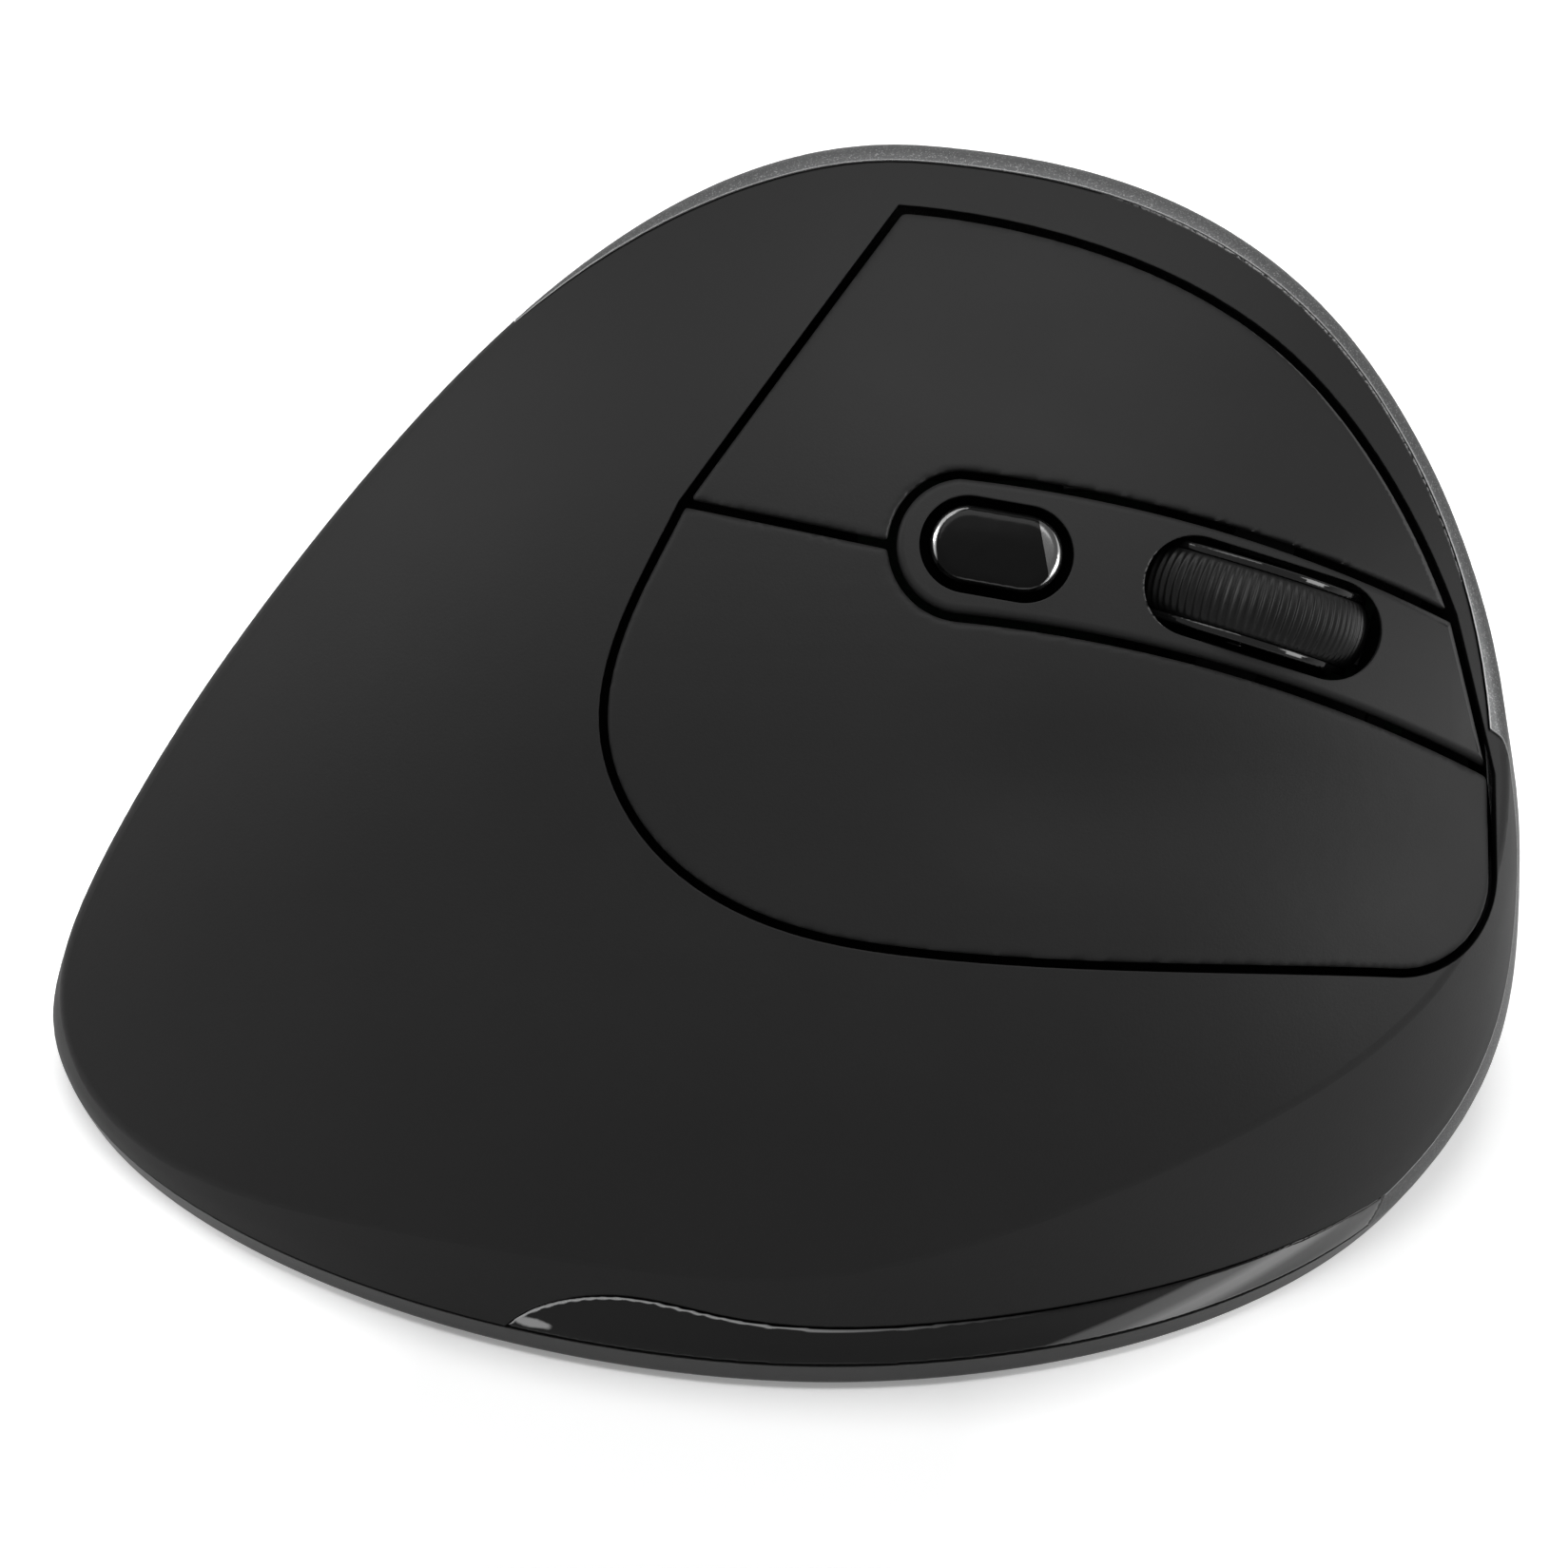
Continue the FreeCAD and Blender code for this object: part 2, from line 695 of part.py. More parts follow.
def click_buttons(plate):
    """The index button and the middle finger button."""
    halves = plate.cut(through_face(moved_right(bridge_edges(), seam))).cut(split_slot())
    up_face = face_point(0, 1, 0)
    sizes = sorted(halves.Solids, key=lambda solid: solid.Volume)[-2:]
    index, middle = sorted(sizes, key=lambda solid: -solid.CenterOfMass.dot(up_face))
    return index.fuse(lever_parts(index_lever)), middle.fuse(lever_parts(middle_lever))


def pivot_pins():
    return Part.Compound([leaned(pin_rod(lever, pin_radius, 0)) for lever in (index_lever, middle_lever)])


def centre_bridge(plate):
    bridge = soften(plate.common(through_face(Part.Wire(bridge_edges()))).Solids[0], face_up(), bridge_edge)
    full = (frame_top, face_height + wall)
    slot = turned(pill(wheel_slot_middle, wheel_slot, full), wheel_slot_middle, wheel_turn)
    half = tyre_width / 2 + hub_lip + wheel_relief
    relief = wheel_placed(disc(wheel_radius + wheel_relief, -half, half)).common(under_face(relief_skin))
    opening = turned(pill(dpi_middle, dpi_opening, full), dpi_middle, dpi_turn)
    for cutter in (leaned(slot), relief, leaned(opening)):
        bridge = bridge.cut(cutter)
    ceiling = under_face(wall / 2)
    for place in bridge_posts:
        bridge = bridge.fuse(leaned(rod(place, bridge_post_radius, full)).common(ceiling))
    return bridge


def dpi_button():
    flange_top = button_underside(*dpi_middle) - dpi_flange_drop
    cap = leaned(turned(pill(dpi_middle, dpi_cap, (flange_top, face_height + wall)), dpi_middle, dpi_turn))
    cap = soften(cap.common(under_face(-dpi_proud)), face_up(), dpi_edge)
    flange = pill(dpi_middle, dpi_flange, (flange_top - dpi_flange_thick, flange_top))
    stem_low = board_top() + dpi_switch[2] + switch_gap
    stem = rod(dpi_middle, dpi_stem, (stem_low, flange_top))
    return cap.fuse([leaned(turned(flange, dpi_middle, dpi_turn)), leaned(stem)])


def tact_switch(middle, size, base, gap, travel):
    """A small push switch: its housing and its plunger, on a board at height base."""
    plunger_top = base + size[2]
    body_top = plunger_top - gap - travel
    housing = centred_box(middle, size, (base, body_top))
    hole = rod(middle, tact_plunger_radius + pin_clearance, (base + gap, body_top))
    plunger = rod(middle, tact_plunger_radius, (base + gap + 2 * travel, plunger_top))
    return housing.cut(hole), plunger


def dpi_switch_parts():
    housing, plunger = tact_switch(dpi_middle, dpi_switch, board_top(), side_play, dpi_travel)
    return leaned(turned(housing, dpi_middle, dpi_turn)), leaned(plunger)


def wheel_w():
    """w of the wheel's axle."""
    return face_w(*wheel_middle) + wheel_proud - wheel_radius


def wheel_placed(shape):
    """Place a shape drawn round the wheel: x along the wheel, y along the axle, z up from the axle."""
    moved = shape.copy()
    moved.translate(Vector(wheel_middle[0], wheel_middle[1], wheel_w()))
    return leaned(turned(moved, wheel_middle, wheel_turn))


def disc(radius, y0, y1):
    return Part.makeCylinder(radius, y1 - y0, Vector(0, y0, 0), Vector(0, 1, 0))


def encoder_y():
    """Far and near side of the encoder along the axle."""
    near = yoke_width / 2 + encoder_gap
    return -near - encoder_size[1], -near


def wheel_hub():
    half = tyre_width / 2
    core = disc(wheel_radius - tyre_thick, -half, half)
    lips = [disc(wheel_radius - hub_lip_drop, half, half + hub_lip),
            disc(wheel_radius - hub_lip_drop, -half - hub_lip, -half)]
    lips = [lip.makeFillet(hub_lip_round, lip.Edges) for lip in lips]
    axle = disc(axle_radius, encoder_y()[0] + wall, yoke_width / 2)
    return wheel_placed(core.fuse(lips + [axle]))


def wheel_tyre():
    """Tyre with a crowned tread and fine ribs across it."""
    half = tyre_width / 2
    inner = wheel_radius - tyre_thick
    side = wheel_radius - tyre_crown
    crown = arc(Vector(side, -half, 0), Vector(wheel_radius, 0, 0), Vector(side, half, 0))
    section = Part.Wire([
        crown,
        straight(Vector(side, half, 0), Vector(inner, half, 0)),
        straight(Vector(inner, half, 0), Vector(inner, -half, 0)),
        straight(Vector(inner, -half, 0), Vector(side, -half, 0))])
    tyre = Part.Face(section).revolve(Vector(0, 0, 0), Vector(0, 1, 0), full_turn)
    points = []
    for i in range(2 * tyre_ribs + 1):
        angle = math.pi * i / tyre_ribs
        radius = wheel_radius - (rib_depth if i % 2 else 0.0)
        points.append(Vector(radius * math.cos(angle), -tyre_width, radius * math.sin(angle)))
    ribs = Part.Face(Part.makePolygon(points)).extrude(Vector(0, 2 * tyre_width, 0))
    return wheel_placed(tyre.common(ribs))


def yoke_sides():
    """Middle and width of each side arm of the yoke across the wheel."""
    width = (yoke_width - yoke_gap) / 2
    return [(side * (yoke_width - width) / 2, width) for side in (-1, 1)]


def wheel_yoke():
    low = yoke_w[0] - wheel_w()
    high = yoke_w[1] - wheel_w()
    yoke = cuboid((yoke_front - yoke_bar, yoke_front), (-yoke_width / 2, yoke_width / 2), (low, high))
    parts = []
    for y, width in yoke_sides():
        across = (y - width / 2, y + width / 2)
        parts.append(cuboid((yoke_back, yoke_front), across, (low, high)))
        parts.append(centred_box((0, y), (yoke_arm, width), (low, axle_radius + axle_play + hub_lip)))
    bore = disc(axle_radius + axle_play, -yoke_width, yoke_width)
    return wheel_placed(yoke.fuse(parts).cut(bore))


def wheel_encoder():
    y0, y1 = encoder_y()
    low = board_top() - wheel_w()
    body = cuboid((-encoder_size[0] / 2, encoder_size[0] / 2), (y0, y1), (low, low + encoder_size[2]))
    bore = disc(axle_radius + wheel_click + axle_play, y0 + wall / 2, y1)
    lower = bore.copy()
    lower.translate(Vector(0, 0, -wheel_click))
    return wheel_placed(body.cut([bore, lower]))


def wheel_switch_parts():
    size = tact_size + (yoke_w[0] - board_top() - switch_gap,)
    middle = (yoke_front - yoke_bar / 2, 0)
    housing, plunger = tact_switch(middle, size, board_top() - wheel_w(), side_play, wheel_click)
    return wheel_placed(housing), wheel_placed(plunger)


def frame_plate(z, s_range, t_range, tab):
    """Flat plate in the leaning plane with the tab for the index switch."""
    plate = cuboid(s_range, t_range, z)
    return plate.fuse(cuboid(frame_tab_s, (t_range[1] - wall, tab), z))


def wheel_gap(size, z):
    return turned(pill(wheel_middle, size, z), wheel_middle, wheel_turn)


def frame_lug(lever):
    pivot_s, pivot_t = lever[:2]
    lug = centred_box((pivot_s, pivot_t), (2 * ear_reach, lug_width), (frame_top, pivot_w + ear_reach))
    return lug.cut(pin_rod(lever, pin_radius, wall))


def guide_blocks():
    """Upright guides on the frame at both ends of the yoke's side arms."""
    blocks = []
    for end in (yoke_back - side_play - guide_thick / 2, yoke_front + side_play + guide_thick / 2):
        for y, width in yoke_sides():
            block = centred_box((end, y), (guide_thick, width), (frame_top, yoke_w[1]))
            block.translate(Vector(wheel_middle[0], wheel_middle[1], 0))
            blocks.append(turned(block, wheel_middle, wheel_turn))
    return blocks


def ribbon_slot():
    half = ribbon_thick / 2 + side_play
    return cuboid((ribbon_s[0] - side_play, ribbon_s[1] + side_play), (ribbon_t - half, ribbon_t + half),
                  (0, board_top()))


def below_frame(shape):
    """The part of a shape that lies under the frame plate's upper face."""
    return shape.common(leaned(slab(-body_depth, frame_top)))


def inner_frame():
    low = frame_top - frame_thick
    plate = frame_plate((low, frame_top), frame_s, frame_t, frame_tab_t)
    plate = plate.fuse([frame_lug(index_lever), frame_lug(middle_lever)] + guide_blocks())
    supports = []
    for x in rib_x:
        supports.append(below_frame(cuboid((x, x + rib_thick), rib_y, (base_top, body_depth))))
    for start in (side_board_x[0], side_board_x[1] - bracket_width):
        block = cuboid((start, start + bracket_width), (side_board_y[0] - bracket_reach, side_board_y[0]),
                       (side_board_z[0], body_depth))
        supports.append(below_frame(block))
    ceiling = under_face(wall + side_play)
    for place in shell_posts:
        supports.append(leaned(rod(place, post_radius, (low, face_height))).common(ceiling))
    deep = (wheel_w() - wheel_radius - wheel_click - wheel_relief, frame_top)
    holes = [leaned(wheel_gap(board_slot, deep)), leaned(ribbon_slot())]
    for place in board_screws_at:
        holes.append(leaned(rod(place, screw_radius + screw_play, (low - wall, frame_top))))
    return largest(leaned(plate).fuse(supports).common(body_form(wall + room)).cut(holes))


def button_board():
    z = (frame_top, board_top())
    board = frame_plate(z, board_s, board_t, frame_tab_t - side_play)
    holes = [wheel_gap(board_slot, z), ribbon_slot()] + guide_blocks()
    holes += [rod(place, bridge_post_radius + side_play, z) for place in bridge_posts]
    holes += [rod(place, screw_radius + screw_play, z) for place in board_screws_at]
    return largest(leaned(board.cut(holes)).common(body_form(wall + room)))


def screw(middle, seat, length):
    """Screw with its head above a seat and its shank below it."""
    return rod(middle, screw_head_radius, (seat, seat + screw_head_thick)).fuse(
        rod(middle, screw_radius, (seat - length, seat)))


def button_board_screws():
    length = board_thick + frame_thick
    return Part.Compound([leaned(screw(place, board_top(), length)) for place in board_screws_at])


def click_switch(lever):
    """Housing and plunger of the switch under one click button."""
    switch_s, switch_t = lever[2:]
    length, width, height = switch_size
    z = (board_top(), board_top() + height)
    middle = (switch_s - switch_offset, switch_t)
    size = (plunger_size[0], plunger_size[1])
    hole = centred_box((switch_s, switch_t), (size[0] + 2 * pin_clearance, size[1] + 2 * pin_clearance),
                       (z[1] - 2 * plunger_sunk, z[1]))
    housing = centred_box(middle, (length, width), z).cut(hole)
    plunger = centred_box((switch_s, switch_t), size, (z[1] - plunger_sunk, z[1] + plunger_rise))
    return leaned(housing), leaned(plunger)


def sideways(middle, radius, y):
    """Rod along y from a middle in x and z."""
    return Part.makeCylinder(radius, y[1] - y[0], Vector(middle[0], y[0], middle[1]), Vector(0, 1, 0))


def thumb_prism(grow):
    """Outline of both thumb buttons together, grown all round, run through the thumb wall."""
    line = arc(*[Vector(x, 0, z) for x, z in thumb_line]).Curve
    centre = line.Center
    angles = [math.atan2(z - centre.z, x - centre.x) for x, z in thumb_line]
    extra = grow / line.Radius

    def on_line(radius, angle):
        return centre + Vector(radius * math.cos(angle), 0, radius * math.sin(angle))

    outer = line.Radius + thumb_half_height + grow
    inner = line.Radius - thumb_half_height - grow
    turns = (angles[0] + extra, angles[1], angles[2] - extra)
    top = [on_line(outer, angle) for angle in turns]
    low = [on_line(inner, angle) for angle in turns]
    wire = Part.Wire([arc(*top), straight(top[2], low[2]), arc(*low[::-1]), straight(low[0], top[0])])
    prism = Part.Face(wire).extrude(Vector(0, body_depth, 0))
    return prism.makeFillet(thumb_end_radius + grow, edges_along(prism, Vector(0, 1, 0)))


def thumb_buttons():
    """The forward and the back button."""
    outside = wall_form(-thumb_proud)
    flange_in = wall + side_play + thumb_flange
    core = soften(thumb_prism(0.0).common(outside).cut(wall_form(flange_in)), Vector(0, 1, 0), thumb_edge)
    flange = thumb_prism(thumb_seam + thumb_flange).common(wall_form(wall + side_play))
    flange = flange.cut(wall_form(flange_in))
    far = (-body_depth, body_depth)
    pair = core.fuse(flange)
    start = side_board_y[1] + side_switch[1] + side_plunger_rise + switch_gap
    for x in thumb_switch_x:
        boss = sideways((x, thumb_switch_z), thumb_boss_radius, (start, body_depth)).common(wall_form(wall))
        pair = pair.fuse(boss)
    pair = pair.cut(cuboid((thumb_split_x - thumb_seam / 2, thumb_split_x + thumb_seam / 2), far, far))
    back, forward = sorted(pair.Solids, key=lambda solid: solid.CenterOfMass.x)
    return forward, back


def side_switch_parts(x):
    y = side_board_y[1]
    length, depth, height = side_switch
    housing = cuboid((x - length / 2, x + length / 2), (y, y + depth),
                     (thumb_switch_z - height / 2, thumb_switch_z + height / 2))
    hole = sideways((x, thumb_switch_z), tact_plunger_radius + pin_clearance, (y + side_play, y + depth))
    start = y + side_play + thumb_travel + pin_clearance
    plunger = sideways((x, thumb_switch_z), tact_plunger_radius, (start, y + depth + side_plunger_rise))
    return housing.cut(hole), plunger


def side_board():
    return cuboid(side_board_x, side_board_y, side_board_z)


def boss_form(place, grow, z):
    """A screw boss and its rib to the wall beside it."""
    angle = math.degrees(math.atan2(place[1] - waist_y, place[0] - waist_x))
    half = gusset_thick / 2 + grow
    rib = cuboid((place[0], place[0] + gusset_reach), (place[1] - half, place[1] + half), z)
    return rod(place, boss_radius + grow, z).fuse(turned(rib, place, angle))


def bosses(places):
    inside = body_form(wall / 2)
    z = (base_top + parting, boss_height)
    result = []
    for place in places:
        bore = rod(place, screw_radius + screw_play, (z[0], z[0] + base_screw_reach + wall))
        result.append(boss_form(place, 0.0, z).common(inside).cut(bore))
    return result


def outer_shells(skin):
    """The black palm shell, the grey thumb shell and the gloss strip."""
    black = skin.cut(through_face(Part.Wire(opening_edges()))).cut(thumb_block(-parting).cut(lid(parting)))
    strip = largest(black.common(strip_block(0.0)))
    palm = largest(black.cut(strip_block(parting)))
    thumb = largest(skin.common(thumb_block(0.0).cut(lid(0.0))))
    thumb = thumb.cut(thumb_prism(thumb_seam))
    strip_room = strip_block(parting).cut(body_form(wall + parting))
    palm_bosses = [boss.cut(strip_room) for boss in bosses(shell_bosses)]
    return palm.fuse(palm_bosses), thumb.fuse(bosses(thumb_bosses)), strip


def rounded_plate(middle, size, radius, z):
    plate = centred_box(middle, size, z)
    return plate.makeFillet(radius, edges_along(plate, Vector(0, 0, 1)))


def battery_z():
    return base_top + battery_lift + battery_radius


def bay_x():
    """Inner ends of the battery bay."""
    return (battery_start - spring_length - contact_thick,
            battery_start + battery_length + contact_thick + pin_clearance)


def bay_y():
    half = battery_radius + bay_play
    return battery_y - half, battery_y + half


def bay_opening_x():
    low, high = bay_x()
    return low + contact_ledge, high - contact_ledge


def grown(limits, amount):
    return limits[0] - amount, limits[1] + amount


def battery_bay():
    z = (base_top, base_top + bay_height)
    return cuboid(grown(bay_x(), bay_wall), grown(bay_y(), bay_wall), z).cut(cuboid(bay_x(), bay_y(), z))


def battery():
    body = Part.makeCylinder(battery_radius, battery_length, Vector(battery_start, battery_y, battery_z()),
                             Vector(1, 0, 0))
    return body.makeFillet(side_play, body.Edges)


def contact_plate(x):
    half = contact_width / 2
    y = (battery_y - half, battery_y + half)
    return cuboid((x, x + contact_thick), y, (base_top, battery_z() + half / 2))


def battery_spring():
    """Contact plate and its coil, which presses on the battery's rear end."""
    start = bay_x()[0] + contact_thick
    pitch = (spring_length - 2 * spring_wire) / spring_turns
    coil = Part.makeHelix(pitch, pitch * spring_turns, spring_radius)
    ring = Part.Wire([Part.Circle(Vector(spring_radius, 0, 0), Vector(0, 1, 0), spring_wire).toShape()])
    wire = coil.makePipeShell([ring], True, True)
    wire.rotate(Vector(0, 0, 0), Vector(0, 1, 0), quarter_turn)
    wire.translate(Vector(start + spring_wire / 2, battery_y, battery_z()))
    return contact_plate(bay_x()[0]).fuse(wire)


def cover_x():
    return grown(bay_opening_x(), cover_overlap)


def battery_cover():
    z = (foot_height, foot_height + cover_thick)
    cover = cuboid(cover_x(), grown(bay_y(), cover_overlap), z)
    low, high = bay_y()
    along = (bay_opening_x()[0] + cover_rib_thick, bay_opening_x()[1] - cover_rib_thick - cover_travel)
    ribs = []
    for y in (low + cover_play, high - cover_play - cover_rib_thick):
        ribs.append(cuboid(along, (y, y + cover_rib_thick), (z[1] - side_play, z[1] + cover_rib_height)))
    return cover.fuse(ribs)


def cover_recess():
    low, high = grown(cover_x(), cover_play)
    return cuboid((low, high + cover_travel), grown(bay_y(), cover_overlap + cover_play),
                  (0, foot_height + cover_thick + pin_clearance))


def receiver_levels():
    """Bottom of the receiver's cap, top of the cap, top of its plug."""
    low = foot_height + pin_clearance
    return low, low + receiver_cap[2], low + receiver_cap[2] + receiver_plug[2]


def receiver_cap_piece():
    return rounded_plate(receiver_middle, receiver_cap, receiver_wall, receiver_levels()[:2])


def receiver_plug_piece():
    return centred_box(receiver_middle, receiver_plug, receiver_levels()[1:])


def receiver_room():
    """The space that the receiver slides in."""
    middle, high = receiver_levels()[1:]
    play = 2 * receiver_play
    cap_size = (receiver_cap[0] + play, receiver_cap[1] + play)
    plug_size = (receiver_plug[0] + play, receiver_plug[1] + play)
    wide = centred_box(receiver_middle, cap_size, (0, middle + receiver_play))
    return wide.fuse(centred_box(receiver_middle, plug_size, (0, high + wall)))


def receiver_socket():
    high = receiver_levels()[2]
    grow = 2 * (receiver_play + receiver_wall)
    size = (receiver_cap[0] + grow, receiver_cap[1] + grow)
    return centred_box(receiver_middle, size, (base_top, high))


def standoff_places():
    x0, x1 = grown(main_board_x, -standoff_inset)
    y0, y1 = grown(main_board_y, -standoff_inset)
    return [(x0, y0), (x1, y0), (x0, y1), (x1, y1)]


def main_board_top():
    return main_board_z + board_thick


def main_board():
    z = (main_board_z, main_board_top())
    board = cuboid(main_board_x, main_board_y, z)
    holes = [rod(place, screw_radius + screw_play, z) for place in standoff_places()]
    window = centred_box(sensor_middle, lens_nub, z)
    return board.cut(holes + [window])


def main_board_screws():
    length = board_thick + screw_bite
    return Part.Compound([screw(place, main_board_top(), length) for place in standoff_places()])


def screw_seat():
    """Top of the counterbores in the base plate."""
    return foot_height + pin_clearance + screw_head_thick


def base_screws():
    screws = []
    for place in shell_bosses + thumb_bosses:
        head = rod(place, screw_head_radius, (screw_seat() - screw_head_thick, screw_seat()))
        shank = rod(place, screw_radius, (screw_seat(), base_top + base_screw_reach))
        screws.append(head.fuse(shank))
    return Part.Compound(screws)


def foot_solid(place, play, top):
    x, y, length, width = place
    return rounded_plate((x, y), (length + 2 * play, width + 2 * play), foot_round + play, (0, top))


def foot_ring_solid(play, top):
    """The foot round the sensor's window, or the pocket that holds it."""
    outside = [size + 2 * play for size in foot_ring]
    inside = [size + 2 * (foot_ring_gap - play) for size in sensor_window]
    outer = rounded_plate(sensor_middle, outside, foot_round + play, (0, top))
    return outer.cut(centred_box(sensor_middle, inside, (0, top)))


def power_knob_x():
    """The knob at the rear end of its slot."""
    return power_middle[0] - power_travel / 2


def power_switch_knob():
    z = (power_lift, main_board_z - power_wall - side_play)
    return centred_box((power_knob_x(), power_middle[1]), power_knob, z)


def power_switch_housing():
    z = (base_top + side_play, main_board_z)
    room_inside = centred_box(power_middle, power_slot, (0, main_board_z - power_wall))
    return centred_box(power_middle, power_housing, z).cut(room_inside)


def sensor_lens():
    plate = centred_box(sensor_middle, lens_plate, (base_top, base_top + lens_plate[2]))
    lower = centred_box(sensor_middle, lens_nub, (foot_height + screw_head_thick, base_top))
    return plate.fuse(lower)


def on_main_board(middle, size):
    return centred_box(middle, size, (main_board_top(), main_board_top() + size[2]))


def ribbon_line():
    """Centre line of the ribbon across its width: y and z of its top, its bend and its foot."""
    top = face_point(0, ribbon_t, board_top())
    bend = face_point(0, ribbon_t, ribbon_bend_w)
    return top, bend, Vector(0, bend.y, main_board_top() + socket_size[2])


def ribbon_cable():
    top, bend, foot = ribbon_line()
    half = ribbon_thick / 2
    side = face_point(0, 1, 0) * half
    mitre = Vector(0, half, half * math.tan(math.radians(lean / 2)))
    across = Vector(0, half, 0)
    outline = [top - side, bend - mitre, foot - across, foot + across, bend + mitre, top + side]
    face = Part.Face(Part.makePolygon(outline + outline[:1]))
    face.translate(Vector(ribbon_s[0], 0, 0))
    return face.extrude(Vector(ribbon_s[1] - ribbon_s[0], 0, 0))


def ribbon_sockets():
    length, width, height = socket_size
    middle = (sum(ribbon_s) / 2, ribbon_t)
    upper = leaned(centred_box(middle, (length, width), (board_top(), board_top() + height)))
    foot = ribbon_line()[2]
    lower = centred_box((middle[0], foot.y), (length, width), (main_board_top(), foot.z))
    return Part.Compound([upper, lower])


def base_plate():
    floor = wall_form(0.0).common(slab(foot_height, base_top))
    under = min(floor.Faces, key=lambda face: face.CenterOfMass.z)
    floor = floor.makeFillet(base_edge, under.Edges)
    tongue_z = (base_top, base_top + tongue_height)
    tongue = wall_form(wall + tongue_play).cut(wall_form(wall + tongue_play + tongue_thick))
    tongue = tongue.common(slab(*tongue_z))
    clear = [boss_form(place, side_play, tongue_z) for place in shell_bosses + thumb_bosses]
    standoffs = [rod(place, standoff_radius, (base_top, main_board_z)) for place in standoff_places()]
    plate = floor.fuse([tongue.cut(clear), battery_bay(), receiver_socket()] + standoffs)
    holes = [cuboid(bay_opening_x(), bay_y(), (0, base_top)), cover_recess(), receiver_room()]
    for place in standoff_places():
        holes.append(rod(place, screw_radius + screw_play, (base_top, main_board_z)))
    for place in shell_bosses + thumb_bosses:
        holes.append(rod(place, screw_radius + screw_play, (0, base_top)))
        holes.append(rod(place, screw_head_radius + screw_play, (0, screw_seat())))
    holes += [foot_solid(place, foot_play, foot_height + foot_sink) for place in feet.values()]
    holes.append(foot_ring_solid(foot_play, foot_height + foot_sink))
    holes.append(centred_box(sensor_middle, sensor_window, (0, base_top)))
    holes.append(centred_box(power_middle, power_slot, (0, base_top)))
    return largest(plate.cut(holes))


def mouse():
    """Every piece of the mouse by name."""
    skin = hollow(rounded_body(), body_form(wall), base_top + parting)
    palm, thumb, strip = outer_shells(skin)
    plate = opening_skin(skin)
    index, middle = click_buttons(plate)
    forward, back = thumb_buttons()
    pieces = {
        "palm_shell": palm,
        "thumb_shell": thumb,
        "gloss_strip": strip,
        "index_button": index,
        "middle_button": middle,
        "button_pivot_pins": pivot_pins(),
        "centre_bridge": centre_bridge(plate),
        "wheel_hub": wheel_hub(),
        "wheel_tyre": wheel_tyre(),
        "wheel_yoke": wheel_yoke(),
        "wheel_encoder": wheel_encoder(),
        "resolution_button": dpi_button(),
        "forward_button": forward,
        "back_button": back,
        "side_board": side_board(),
        "inner_frame": inner_frame(),
        "button_board": button_board(),
        "button_board_screws": button_board_screws(),
        "base_plate": base_plate(),
        "base_screws": base_screws(),
        "main_board": main_board(),
        "main_board_screws": main_board_screws(),
        "sensor_lens": sensor_lens(),
        "optical_sensor": on_main_board(sensor_middle, sensor_chip),
        "controller_chip": on_main_board(controller_middle, controller_size),
        "power_switch_knob": power_switch_knob(),
        "power_switch_housing": power_switch_housing(),
        "battery": battery(),
        "battery_spring": battery_spring(),
        "battery_contact": contact_plate(bay_x()[1] - contact_thick),
        "battery_cover": battery_cover(),
        "receiver_cap": receiver_cap_piece(),
        "receiver_plug": receiver_plug_piece(),
        "ribbon_cable": ribbon_cable(),
        "ribbon_sockets": ribbon_sockets(),
    }
    switches = {
        "index_switch": click_switch(index_lever),
        "middle_switch": click_switch(middle_lever),
        "wheel_switch": wheel_switch_parts(),
        "resolution_switch": dpi_switch_parts(),
        "back_switch": side_switch_parts(thumb_switch_x[0]),
        "forward_switch": side_switch_parts(thumb_switch_x[1]),
    }
    for name, (housing, plunger) in switches.items():
        pieces[name] = housing
        pieces[name + "_plunger"] = plunger
    for name, place in feet.items():
        pieces[name] = foot_solid(place, 0.0, foot_height + foot_sink)
    pieces["foot_sensor"] = foot_ring_solid(0.0, foot_height + foot_sink)
    return pieces


os.makedirs("parts", exist_ok=True)
for node, solid in mouse().items():
    solid.exportStep("parts/" + node + ".step")
    print(node, len(solid.Solids), solid.isValid(), round(solid.Volume, 1))
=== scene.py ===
import json
import math

import bmesh
import bpy
from mathutils import Matrix, Vector


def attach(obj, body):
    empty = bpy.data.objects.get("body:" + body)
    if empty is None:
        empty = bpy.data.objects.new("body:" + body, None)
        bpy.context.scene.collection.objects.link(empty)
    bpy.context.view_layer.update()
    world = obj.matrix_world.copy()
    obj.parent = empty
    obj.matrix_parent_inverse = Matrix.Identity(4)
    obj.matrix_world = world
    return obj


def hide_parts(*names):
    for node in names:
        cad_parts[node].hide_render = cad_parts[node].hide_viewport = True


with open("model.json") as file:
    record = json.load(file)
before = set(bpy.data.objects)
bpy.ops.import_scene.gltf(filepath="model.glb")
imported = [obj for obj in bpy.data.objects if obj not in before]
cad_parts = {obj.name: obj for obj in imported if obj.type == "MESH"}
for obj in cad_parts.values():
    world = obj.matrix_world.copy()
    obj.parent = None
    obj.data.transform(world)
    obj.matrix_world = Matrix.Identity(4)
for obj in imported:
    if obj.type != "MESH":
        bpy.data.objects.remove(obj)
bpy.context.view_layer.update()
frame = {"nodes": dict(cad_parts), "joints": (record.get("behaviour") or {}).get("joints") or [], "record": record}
nodes = frame["nodes"]
mm = 0.001
print("frame loaded,", len(nodes), "nodes")

